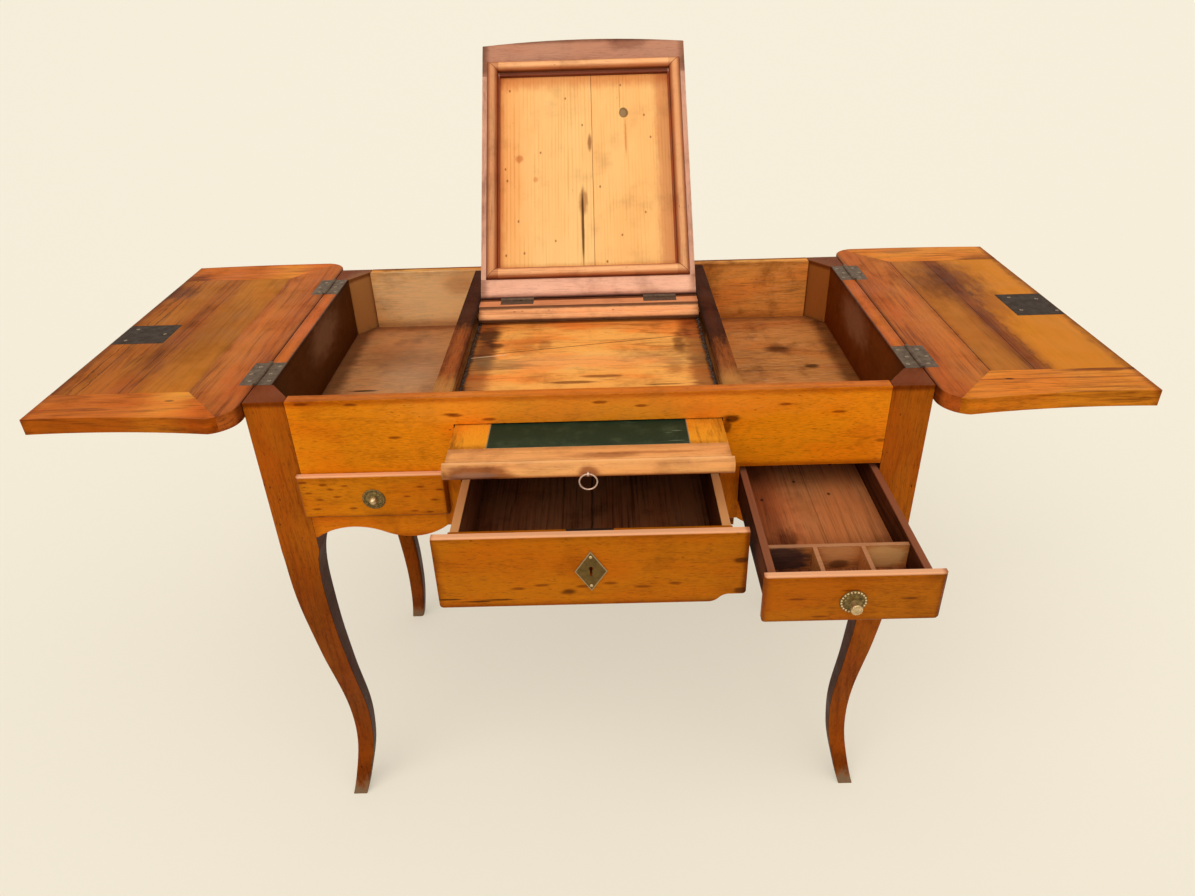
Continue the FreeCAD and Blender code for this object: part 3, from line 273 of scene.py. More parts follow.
# Bare secondary wood, sawn and left dry: matt, dusty and scratched
BARE = Wood(
    "bare", "sawn_oak", ring=11, ring_depth=0.16, fibre_wide=2.1, fibre_depth=0.7, pores=0.45, flecks=0.4,
    blotch=0.5, stain=0.6, scratches=0.12, rough=0.66, gloss=0.08,
)
# The recessed board of the centre well: gold and stained
BOARD = Wood(
    "board", "planed_fruitwood", light=(1.14, 1.12, 1.05), ring=16, ring_depth=0.24, figure=1.8,
    fibre_wide=2.1, fibre_depth=0.55, pores=0.4, flecks=0.45, blotch=0.45, red=0.7, stain=0.4, rough=0.52,
    gloss=0.1, gloss_tint="#FFC070",
)
# Bare drawer linings, dark with age and rubbed by what they held
LINING = Wood(
    "lining", "sawn_oak", ring=6, ring_depth=0.3, figure=0.5, fibre_long=90, fibre_wide=2.2, fibre_depth=1.0,
    pore_long=30, pore_wide=1.8, flecks=0.3, blotch=0.7, stain=0.5, rough=0.64, gloss=0.08,
)
# Reddish tray of the right drawer, quarter sawn: straight fine lines and a few worm holes
TRAY = Wood(
    "tray", "planed_oak", ring=5, ring_depth=0.24, figure=0.6, fibre_long=80, fibre_wide=2.0, fibre_depth=0.9,
    pores=0.6, pore_long=24, pore_wide=1.6, flecks=0.7, blotch=0.5, stain=0.4, rough=0.6, gloss=0.08,
)
# Close-grained fruitwood rubbed pale and pinkish: almost no figure
FLAP = Wood(
    "flap", "rubbed_fruitwood", ring=12, ring_depth=0.12, figure=0.8, fibre_depth=0.4, pores=0.25, flecks=0.3,
    blotch=0.35, red=0.15, gloss=0.2, gloss_tint="#FFE0D0",
)
# Scraped and waxed mouldings: orange, with specks of grime
MOULD = Wood(
    "mould", "scraped_fruitwood", light=(1.15, 1.12, 1.05), ring=12, ring_depth=0.12, figure=0.8,
    fibre_long=40, fibre_depth=0.45, pores=0.3, flecks=0.6, blotch=0.35, red=0.2, gloss=0.2,
    gloss_tint="#FFD8B0",
)
# Bare pine board: straight yellow late-wood lines on a pale ground
PINE = Wood(
    "pine", "planed_pine", light=(1.06, 1.07, 1.1), dark=(0.8, 0.62, 0.42), ring=3.4, ring_depth=0.3,
    figure=0.7, figure_long=700, fibre_long=90, fibre_depth=0.25, pores=0.0, flecks=0.35, blotch=0.3,
    red=0.15, stain=0.2, grime=0.0, wear=0.0, rough=0.56, gloss=0.2,
)


# The marks on a board follow. Each has a colour, an amount and a blend, and draws its own mask


@dataclass
class Band:
    """A stripe across one axis, from low to high, eased over soft millimetres."""

    axis: int
    low: float
    high: float
    soft: float
    code: str
    amount: float = 1.0
    blend: str = "MULTIPLY"
    wander: float = 0.0

    def mask(self, tree, own, ripple):
        place = add(tree, SPLIT, {}, {0: own}, self.axis)
        value = chain(tree, "ADD", place, chain(tree, "MULTIPLY", ripple, self.wander))
        rise = add(tree, RANGE, eased(self.low - self.soft, self.low + self.soft), {0: value})
        fall = add(tree, RANGE, eased(self.high - self.soft, self.high + self.soft, 1, 0), {0: value})
        return chain(tree, "MULTIPLY", rise, fall, self.amount)


@dataclass
class Spot:
    """A blot round a centre with three radii."""

    centre: tuple
    radii: tuple
    code: str
    amount: float = 1.0
    blend: str = "MULTIPLY"
    soft: float = 0.45
    wander: float = 1.2

    def mask(self, tree, own, ripple):
        shift = [-c / r for c, r in zip(self.centre, self.radii)]
        scale = [1 / r for r in self.radii]
        local = add(tree, MAP, {"Location": shift, "Scale": scale}, {"Vector": own})
        reach = add(tree, VECTOR, {"operation": "LENGTH"}, {0: local}, "Value")
        value = chain(tree, "ADD", reach, chain(tree, "MULTIPLY", ripple, self.wander))
        fade = add(tree, RANGE, eased(1 - self.soft, 1 + self.soft, 1, 0), {0: value})
        return chain(tree, "MULTIPLY", fade, self.amount)


@dataclass
class Facing:
    """Faces that look towards a direction of the table's frame."""

    towards: tuple
    code: str
    amount: float = 1.0
    blend: str = "MULTIPLY"

    def mask(self, tree, own, ripple):
        normal = add(tree, PLACES, output="Normal")
        towards = add(tree, VECTOR, {"operation": "DOT_PRODUCT", 1: self.towards}, {0: normal}, "Value")
        return add(tree, RANGE, eased(0.55, 0.85, 0, self.amount), {0: towards})


@dataclass
class Seam:
    """A line through two places of a board's top, as wide as given."""

    start: tuple
    end: tuple
    wide: float
    code: str
    amount: float = 1.0
    blend: str = "MULTIPLY"

    def mask(self, tree, own, ripple):
        long = math.dist(self.start, self.end)
        turn = -math.atan2(self.end[1] - self.start[1], self.end[0] - self.start[0])
        first = Matrix.Rotation(turn, 3, "Z") @ Vector((*self.start, 0))
        local = add(tree, MAP, {"Rotation": (0, 0, turn), "Location": -first}, {"Vector": own})
        x, y, _ = add(tree, SPLIT, {}, {0: local}, None).outputs
        off = add(tree, MATH, {"operation": "ABSOLUTE"}, {0: y})
        start = add(tree, RANGE, eased(-1, 3), {0: x})
        end = add(tree, RANGE, eased(long - 3, long + 1, 1, 0), {0: x})
        line = add(tree, RANGE, eased(self.wide * 0.6, self.wide * 1.4, self.amount, 0), {0: off})
        return chain(tree, "MULTIPLY", line, chain(tree, "MULTIPLY", start, end))


@dataclass
class Mitre:
    """A mitred frame of a given width: its outer side, front and rear."""

    side: float
    front: float
    rear: float
    wide: float

    def places(self, tree, own):
        """Millimetres in from the outer sides, and in from the outer front and rear."""
        x, y, _ = add(tree, SPLIT, {}, {0: own}, None).outputs
        into = chain(tree, "SUBTRACT", self.side, add(tree, MATH, {"operation": "ABSOLUTE"}, {0: x}))
        front, rear = chain(tree, "SUBTRACT", y, self.front), chain(tree, "SUBTRACT", self.rear, y)
        return into, chain(tree, "MINIMUM", front, rear)


@dataclass
class JointAndEdgeShade:
    """Dirt in a mitred frame's corner joints when corners is set; otherwise painted shade along its two
    edges, out to far millimetres.
    """

    mitre: Mitre
    corners: bool
    near: float
    far: float
    code: str
    amount: float
    blend: str = "MULTIPLY"

    def mask(self, tree, own, ripple):
        into, depth = self.mitre.places(tree, own)
        if self.corners:
            off = add(tree, MATH, {"operation": "ABSOLUTE"}, {0: chain(tree, "SUBTRACT", into, depth)})
        else:
            across = chain(tree, "MINIMUM", into, depth)
            off = chain(tree, "MINIMUM", across, chain(tree, "SUBTRACT", self.mitre.wide, across))
        return add(tree, RANGE, eased(self.near, self.far, self.amount, 0), {0: off})


# Turns that bring the grain to X, and places measured in the table's own frame
GRAIN_X = (0.0, 0.0, 0.0)
GRAIN_Y = (0.0, 0.0, -math.pi / 2)
GRAIN_Z = (0.0, math.pi / 2, 0.0)
HINGE = next(j for j in frame["joints"] if j["name"] == "mirror_flap_hinge")
FLAP_OPEN = math.radians(max(HINGE["range_deg"], key=abs))
FLAP_TURN = (FLAP_OPEN, 0.0, 0.0)
FLAP_SHIFT = -(Euler(FLAP_TURN).to_matrix() @ (Vector(HINGE["pos_m"]) * 1000))
# Millimetres: the levels of the boards, how far out the corner posts and the leaves' hinge lines are, and
# the level of the pine from the flap's pin
TOP = 720
FLOOR_LEVEL = 625
CENTRE_LEVEL = 700
TRAY_LEVEL = 575
POST = 362
HINGE_LINE = 410.5
PINE_LEVEL = 5


def box_of(node):
    """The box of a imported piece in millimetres."""
    return [[value * 1000 for value in corner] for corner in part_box(node)]


def on_closed_flap(node):
    """The box of a flap's piece in millimetres on the closed flap, measured from its pin."""
    turn = Euler(FLAP_TURN).to_matrix()
    places = [FLAP_SHIFT + turn @ (v.co * 1000) for v in frame["nodes"][node].data.vertices]
    return [[pick(p[axis] for p in places) for axis in range(3)] for pick in (min, max)]


def edge_distance(tree, own, box):
    """How far a point of a board's surface is from the nearest edge of the board's box."""
    low, high = box
    under = add(tree, VECTOR, {"operation": "SUBTRACT", 1: low}, {0: own})
    over = add(tree, VECTOR, {"operation": "SUBTRACT", 0: high}, {1: own})
    near = add(tree, VECTOR, {"operation": "MINIMUM"}, {0: under, 1: over})
    a, b, c = add(tree, SPLIT, {}, {0: near}, None).outputs
    most = chain(tree, "MINIMUM", chain(tree, "MAXIMUM", a, b), c)
    return chain(tree, "MAXIMUM", chain(tree, "MINIMUM", a, b), most)


def ring_lines(tree, grain, wood):
    """Late-wood lines from 0 to 1: shells round a far pith that wander along the board."""
    pith = add(tree, MAP, {"Scale": (0, 1 / wood.ring, 1 / wood.ring)}, {"Vector": grain})
    shell = add(tree, VECTOR, {"operation": "LENGTH"}, {0: pith}, "Value")
    wander = drawn_noise(tree, grain, wood.figure_long, wood.figure_wide)
    phase = chain(tree, "ADD", shell, chain(tree, "MULTIPLY", wander, wood.figure * 4))
    wave = add(tree, MATH, {"operation": "SINE"}, {0: chain(tree, "MULTIPLY", phase, math.tau)})
    line = add(tree, RANGE, eased(-0.4, 1), {0: wave})
    faint = add(tree, RANGE, eased(0.3, 0.6, 0.25, 1), {0: drawn_noise(tree, grain, 90, 14)})
    return chain(tree, "MULTIPLY", line, faint)


def wood_colour(tree, wood, body, grain):
    """Growth rings, silky fibres and broad changes of depth; gives the colour and the fibres."""
    light = [min(1, c * share) for c, share in zip(body, wood.light)]
    dark = [c * share for c, share in zip(body, wood.dark)]
    fibre = drawn_noise(tree, grain, wood.fibre_long, wood.fibre_wide, 3, 0.62)
    blotch = drawn_noise(tree, grain, 170, 55, 3)
    # The sum stays round the middle of the ramp, whatever the depths are
    middle = 0.52 + wood.ring_depth * 0.35 - wood.fibre_depth - wood.blotch
    tone = chain(
        tree, "ADD",
        chain(tree, "MULTIPLY", ring_lines(tree, grain, wood), -wood.ring_depth),
        chain(tree, "MULTIPLY", fibre, wood.fibre_depth * 2),
        chain(tree, "MULTIPLY", blotch, wood.blotch * 2),
        middle,
    )
    ramp = add(tree, "ShaderNodeValToRGB", {}, {"Fac": tone}, None)
    stops = ramp.color_ramp.elements
    stops[0].color, stops[1].color = (*dark, 1), (*light, 1)
    stops.new(0.5).color = (*body, 1)
    warm = add(tree, RANGE, eased(0.4, 0.65), {0: drawn_noise(tree, grain, 110, 38)})
    warm = chain(tree, "MULTIPLY", warm, wood.red)
    shade = add(tree, MIX, laid("#FFC8A0"), {FIRST: ramp.outputs["Color"], FACTOR: warm}, MIXED)
    return shade, fibre


def wood_flaws(tree, wood, shade, fibre, grain, body):
    """Pores and worm marks, finer in life and drawn as wide as the picture can show."""
    dark = [c * share for c, share in zip(body, wood.dark)]
    pore = drawn_noise(tree, grain, wood.pore_long, wood.pore_wide, 1)
    pore = add(tree, RANGE, eased(0.6, 0.72, 0, wood.pores * 0.7), {0: pore})
    shade = add(tree, MIX, laid(dark, "MIX"), {FIRST: shade, FACTOR: pore}, MIXED)
    spread = add(tree, MAP, {"Scale": (1 / 22, 1 / 9, 1 / 9)}, {"Vector": grain})
    holes = add(tree, CELLS, {"Scale": 1}, {"Vector": spread})
    ragged = chain(tree, "ADD", holes, chain(tree, "MULTIPLY", fibre, 0.16))
    hole = add(tree, RANGE, eased(0.13, 0.19, 1, 0), {0: ragged})
    patch = add(tree, RANGE, eased(0.48, 0.62), {0: drawn_noise(tree, grain, 90, 50, 1)})
    fleck = chain(tree, "MULTIPLY", hole, patch, wood.flecks)
    worm = [c * 0.5 for c in dark]
    shade = add(tree, MIX, laid(worm, "MIX"), {FIRST: shade, FACTOR: fleck}, MIXED)
    return shade, pore, fleck


def scratched(tree, shade, own, sizes, turns, code, fade, reach):
    """Fine scratches of the given sizes along X, Y and Z; turns hold each set's angle and level."""
    for turn, gate in turns:
        drawn = {"Rotation": (0, 0, turn), "Scale": [1 / size for size in sizes]}
        line = add(tree, NOISE, {"Scale": 1, "Detail": 1}, {"Vector": add(tree, MAP, drawn, {"Vector": own})})
        mask = chain(tree, "MULTIPLY", add(tree, RANGE, eased(gate, gate + fade), {0: line}), *reach)
        shade = add(tree, MIX, laid(code, "MIX"), {FIRST: shade, FACTOR: mask}, MIXED)
    return shade


def wood_wear(tree, wood, shade, grain, own, cloud, box, body):
    """Stains, scratches, grime along the edges and edges rubbed pale."""
    stain = add(tree, RANGE, eased(0.5, 0.72, 0, wood.stain), {0: cloud})
    shade = add(tree, MIX, laid("#7E5C48"), {FIRST: shade, FACTOR: stain}, MIXED)
    if wood.scratches:
        turns = ((0.5, 0.66), (-0.8, 0.68), (1.5, 0.68))
        shade = scratched(tree, shade, own, (34, 1.8, 1.8), turns, "#E8D0B0", 0.04, (wood.scratches,))
    if box and (wood.grime or wood.wear):
        edge = edge_distance(tree, own, box)
        near = add(tree, RANGE, eased(0, 11, 1, 0), {0: edge})
        dirt = chain(tree, "MULTIPLY", near, cloud, wood.grime * 1.7)
        shade = add(tree, MIX, laid("#6E3A1C"), {FIRST: shade, FACTOR: dirt}, MIXED)
        chips = add(tree, RANGE, eased(0.46, 0.6), {0: drawn_noise(tree, grain, 16, 6, 3, 0.7)})
        rim = add(tree, RANGE, eased(0.3, 2.2, 1, 0), {0: edge})
        rub = chain(tree, "MULTIPLY", rim, chips, wood.wear)
        pale = [min(1, c * share * 1.2) for c, share in zip(body, wood.light)]
        shade = add(tree, MIX, laid(pale, "MIX"), {FIRST: shade, FACTOR: rub}, MIXED)
    return shade


def wood_material(name, wood, grain_of, own_turn, own_shift, box, marks, tint):
    """Sawn wood with rings, fibres, pores, worm flecks, stains, grime, worn edges and its own marks."""
    body = [c * t for c, t in zip(getattr(bpy.context.scene.poudreuse_woods, wood.tone), linear(tint))]
    material, tree, place = new_tree(name)
    dice = random.Random(sum(ord(letter) * (spot + 1) for spot, letter in enumerate(name)))
    shift = [dice.uniform(-900, 900) for _ in range(3)]
    placed = {"Rotation": own_turn, "Scale": (1000,) * 3, "Location": own_shift}
    own = add(tree, MAP, placed, {"Vector": place})
    grain = grain_of(tree, place, own, shift)
    cloud = add(tree, NOISE, {"Scale": 1 / 60, "Detail": 6, "Roughness": 0.62}, {"Vector": own})
    shade, fibre = wood_colour(tree, wood, body, grain)
    shade, pore, fleck = wood_flaws(tree, wood, shade, fibre, grain, body)
    shade = wood_wear(tree, wood, shade, grain, own, cloud, box, body)
    ripple = chain(tree, "SUBTRACT", drawn_noise(tree, grain, 22, 9, 4, 0.6), 0.5)
    for mark in marks:
        mask = mark.mask(tree, own, ripple)
        shade = add(tree, MIX, laid(mark.code, mark.blend), {FIRST: shade, FACTOR: mask}, MIXED)
    rough = add(tree, RANGE, eased(0.3, 0.7, wood.rough - 0.06, wood.rough + 0.1), {0: cloud})
    hollow = chain(tree, "MULTIPLY", pore, 1.4), chain(tree, "MULTIPLY", fleck, 2)
    height = chain(tree, "SUBTRACT", fibre, *hollow)
    bump = add(tree, "ShaderNodeBump", {"Strength": wood.relief, "Distance": 0.0005}, {"Height": height})
    finish_tree(
        tree,
        {"IOR": 1.48, "Specular IOR Level": wood.gloss, "Specular Tint": (*linear(wood.gloss_tint), 1)},
        {"Base Color": shade, "Roughness": rough, "Normal": bump},
    )
    return material


def straight_grain(turn):
    """Places turned so that the grain runs along X."""

    def grain_of(tree, place, own, shift):
        return add(tree, MAP, {"Rotation": turn, "Scale": (1000,) * 3, "Location": shift}, {"Vector": place})

    return grain_of


def mitred_grain(mitre):
    """Grain that follows each length of a mitred frame and turns at its corners."""

    def grain_of(tree, place, own, shift):
        side = chain(tree, "SUBTRACT", *mitre.places(tree, own))
        side = add(tree, RANGE, eased(-0.05, 0.05, 1, 0), {0: side})
        across = add(tree, MAP, {"Rotation": (0, 0, math.pi / 2)}, {"Vector": own})
        grain = add(tree, MIX, {"data_type": "VECTOR"}, {0: side, 4: own, 5: across}, 1)
        return add(tree, MAP, {"Location": shift}, {"Vector": grain})

    return grain_of


def metal_material(name, bright, dull, patch, rough, metallic, contrast):
    """Old metal: bright where rubbed, dull with tarnish in patches of the given millimetres."""
    material, tree, place = new_tree(name)
    own = add(tree, MAP, {"Scale": (1000,) * 3}, {"Vector": place})
    cloud = add(tree, NOISE, {"Scale": 1 / patch, "Detail": 6, "Roughness": 0.7}, {"Vector": own})
    grit = add(tree, NOISE, {"Scale": 1 / 1.4, "Detail": 3}, {"Vector": own})
    middle = [(a + b) / 2 for a, b in zip(bright, dull)]
    tarnish = add(tree, RANGE, eased(0.5, 0.66, 0, contrast), {0: cloud})
    shade = add(tree, MIX, {**laid(dull, "MIX"), FIRST: (*middle, 1)}, {FACTOR: tarnish}, MIXED)
    rubbed = add(tree, RANGE, eased(0.5, 0.36, 0, contrast), {0: cloud})
    shade = add(tree, MIX, laid(bright, "MIX"), {FIRST: shade, FACTOR: rubbed}, MIXED)
    speck = add(tree, RANGE, eased(0.6, 0.7, 0, 0.35), {0: grit})
    glint = [min(1, c * 1.4) for c in bright]
    shade = add(tree, MIX, laid(glint, "MIX"), {FIRST: shade, FACTOR: speck}, MIXED)
    gloss = add(tree, RANGE, eased(0.35, 0.7, rough, rough + 0.2), {0: cloud})
    bump = add(tree, "ShaderNodeBump", {"Strength": 0.5, "Distance": 0.0003}, {"Height": grit})
    finish_tree(tree, {"Metallic": metallic}, {"Base Color": shade, "Roughness": gloss, "Normal": bump})
    return material


def dress(node, material, edge=None):
    """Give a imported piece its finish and, if wanted, softly rounded edges."""
    piece = frame["nodes"][node]
    if not piece.material_slots:
        piece.data.materials.append(material)
    for slot in piece.material_slots:
        slot.material = material
    if edge:
        soften(piece, edge)
    return piece


def soften(piece, width):
    weld = piece.modifiers.new("Weld", "WELD")
    weld.merge_threshold = 1e-6
    bevel = piece.modifiers.new("Worn edge", "BEVEL")
    bevel.width = width
    bevel.segments = 2
    bevel.limit_method = "ANGLE"
    bevel.angle_limit = math.radians(34)
    bevel.harden_normals = True
    normals = piece.modifiers.new("Even faces", "WEIGHTED_NORMAL")
    normals.weight = 80
    normals.keep_sharp = False


def board(node, wood, turn, marks=(), edge="fine", tint="#FFFFFF"):
    """Dress a packed board in its own cut of a wood."""
    still, grain = (0, 0, 0), straight_grain(turn)
    material = wood_material(f"{wood.kind}_{node}", wood, grain, still, still, box_of(node), marks, tint)
    return dress(node, material, getattr(bpy.context.scene.poudreuse_edges, edge))


def flap_board(node, wood, grain_of, marks=(), box=None):
    """Dress a piece of the flap; its own places run from the pin along the closed flap."""
    name = f"{wood.kind}_{node}"
    material = wood_material(name, wood, grain_of, FLAP_TURN, FLAP_SHIFT, box, marks, "#FFFFFF")
    return dress(node, material, bpy.context.scene.poudreuse_edges.fine)


def specks(places, depth, radii, code, amount):
    """Small spots at places of a front, each given by X and Z, through its thickness at Y depth."""
    radii = (radii[0], 40, radii[1])
    return tuple(Spot((x, depth, z), radii, code, amount, "MULTIPLY", 0.5, 1.4) for x, z in places)


def stains(level, deep, *rows):
    """Spots on a level face, each given by X, Y, its radii along them, its colour and what follows."""
    return tuple(Spot((x, y, level), (wide, long, deep), *look) for x, y, wide, long, *look in rows)


def new_piece(name, mesh, body, material, replaces=()):
    """A finished mesh as a piece that rides on a body."""
    bmesh.ops.recalc_face_normals(mesh, faces=mesh.faces)
    data = bpy.data.meshes.new(name)
    mesh.to_mesh(data)
    mesh.free()
    data.materials.append(material)
    piece = bpy.data.objects.new(name, data)
    bpy.context.scene.collection.objects.link(piece)
    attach(piece, body)
    if replaces:
        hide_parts(*replaces)
    return piece


def shade_smooth(mesh):
    for face in mesh.faces:
        face.smooth = True


def turned(mesh, profile, steps, matrix):
    """Turn a profile of radius and height round Z and place it."""
    rings = []
    for radius, height in profile:
        if radius == 0:
            rings.append([mesh.verts.new(matrix @ Vector((0, 0, height)))])
            continue
        ring = []
        for index in range(steps):
            angle = math.tau * index / steps
            spot = Vector((radius * math.cos(angle), radius * math.sin(angle), height))
            ring.append(mesh.verts.new(matrix @ spot))
        rings.append(ring)
    for lower, upper in zip(rings, rings[1:]):
        for index in range(steps):
            corners = [lower[index % len(lower)], lower[(index + 1) % len(lower)],
                       upper[(index + 1) % len(upper)], upper[index % len(upper)]]
            corners = list(dict.fromkeys(corners))
            if len(corners) > 2:
                mesh.faces.new(corners)


def beads(mesh, matrix, count, reach, height, radii):
    """Set a circle of small domes round an axis."""
    for index in range(count):
        around = Matrix.Rotation(math.tau * (index + 0.5) / count, 4, "Z")
        spot = matrix @ around @ Matrix.Translation((reach, 0, height)) @ Matrix.Diagonal((*radii, 1))
        bmesh.ops.create_uvsphere(mesh, u_segments=8, v_segments=6, radius=1, matrix=spot)


class LegsOperator(bpy.types.Operator):
    """Finish the four legs, darker below and worn pale at the feet"""

    bl_idname = "poudreuse.legs"
    bl_label = "Legs"

    def execute(self, context):
        marks = (
            Band(2, 20, 260, 90, "#F0E8FF", 0.8),
            Band(2, TOP - 6, TOP + 10, 3, "#8A5A4C", 0.75, "MULTIPLY", 3),
            Band(2, 18, 60, 20, "#8A6450", 0.6, "MULTIPLY", 40),
            Band(2, -30, 20, 16, "#74644C", 0.8, "MIX", 60),
        )
        for side, sign, post in (("left", -1, "#C08448"), ("right", 1, "#A46028")):
            for end in ("front", "back"):
                lower = "#E4E0D4" if (end, side) == ("front", "right") else "#C8C2B8"
                # The post's faces in the well are bare: dirty in front, golden behind
                if end == "front":
                    place = (sign * POST, -190, 672)
                    bare = Spot(place, (30, 30, 52), "#907464", 0.9, "MULTIPLY", 0.2, 0.4)
                else:
                    place = (sign * POST * 0.91, 170, 680)
                    bare = Spot(place, (80, 80, 90), post, 0.8, "MIX", 0.1, 0.2)
                # The faces towards the middle are darkened: partly the bare sawn wood's own colour, partly
                # painted shade
                inner = (Band(2, 40, 480, 60, lower, 0.9), Facing((-sign, 0, 0), "#604428", 0.9), bare)
                piece = board(f"leg_{end}_{side}", LEG, GRAIN_Z, (*inner, *marks), "leg")
                # The sawn curve has blunter corners than a board, so more of them are rounded
                piece.modifiers["Worn edge"].angle_limit = math.radians(24)
        return {"FINISHED"}


class CaseOperator(bpy.types.Operator):
    """Finish the outer boards, the aprons and the muntins of the case"""

    bl_idname = "poudreuse.case"
    bl_label = "Case boards"

    def execute(self, context):
        self.front()
        inner = box_of("back_board")[0][1]
        back = (
            # Partly the bare board's own paler colour, partly painted light that brightens the dim left well
            Spot((-262, inner, 672), (110, 6, 60), "#FFD498", 0.6, "MIX", 0.7),
            Spot((-215, inner, 696), (26, 6, 16), "#B88860", 0.4),
            Spot((-294, inner, 605), (8, 6, 2), "#5A3820", 0.8),
            Spot((300, inner, 672), (160, 6, 120), "#F0B060", 0.35, "MULTIPLY", 0.2),
            Spot((0, inner, 625), (440, 6, 12), "#A87858", 0.6, "MULTIPLY", 0.6),
            Band(1, inner + 14, inner + 40, 1, "#A88068", 0.8),
        )
        board("back_board", BARE, GRAIN_X, back, "board", "#FFFBDC")
        for side, inner_shade in (("left", "#4C413D"), ("right", "#6C5230")):
            low, high = box_of(f"side_board_{side}")
            face = high[0] if side == "left" else low[0]
            marks = (
                # Painted shade on the face towards the well
                Band(0, face - 2, face + 2, 1, inner_shade),
                Band(2, TOP - 4, TOP + 10, 2, "#D0A890", 0.8, "MULTIPLY", 4),
                Spot((face, 30, 690), (3, 60, 24), "#FFC090", 0.12, "MIX", 0.6),
                Band(1, -400, -150, 30, "#8A7A70", 0.5, "MULTIPLY", 30),
            )
            board(f"side_board_{side}", CASE, GRAIN_Y, marks, "board")
        lobes = (Band(2, 480, 524, 10, "#D0A080", 0.5, "MULTIPLY", 10),)
        board("aprons", CASE, GRAIN_X, lobes, "board", "#E0D6D6")
        board("drawer_muntins", CASE, GRAIN_Z, (Band(2, 590, 620, 8, "#B08060", 0.5),), "board", "#E0D8D8")
        board("rear_top_strip", LEAF, GRAIN_X, edge="board")
        return {"FINISHED"}

    def front(self):
        """The front board: gold, with worm marks, dark joints and dirt beside the slide's slot."""
        low, high = box_of("front_board")
        worm = ((-165, 698), (-159, 696), (15, 709), (-282, 714), (-341, 716), (64, 703), (-118, 690),
                (236, 700), (300, 688), (-236, 668))
        marks = (
            Spot((10, low[1], 706), (230, 40, 22), "#F4A040", 0.3, "MIX", 0.6),
            Spot((172, low[1], 682), (10, 40, 5), "#4A200C", 0.85),
            Spot((167, low[1], 672), (5, 40, 10), "#5A2810", 0.7),
            Spot((355, low[1], 647), (6, 40, 2), "#6A2C10", 0.6),
            Spot((369, low[1], 632), (4, 40, 3), "#6A2C10", 0.6),
            *specks(worm, low[1], (8, 1.8), "#7A3414", 0.7),
            Band(2, TOP - 6, TOP + 10, 3, "#D8A890", 0.5, "MULTIPLY", 6),
            Band(0, low[0] - 2, -240, 60, "#E6E4BC", 0.75),
            Band(2, low[2] - 2, low[2] + 5, 3, "#A8683C", 0.5, "MULTIPLY", 6),
            Band(0, low[0] - 2, low[0] + 1.4, 0.7, "#3A1A0A", 0.8),
            Band(0, high[0] - 1.4, high[0] + 2, 0.7, "#3A1A0A", 0.8),
        )
        board("front_board", CASE, GRAIN_X, marks, "board")


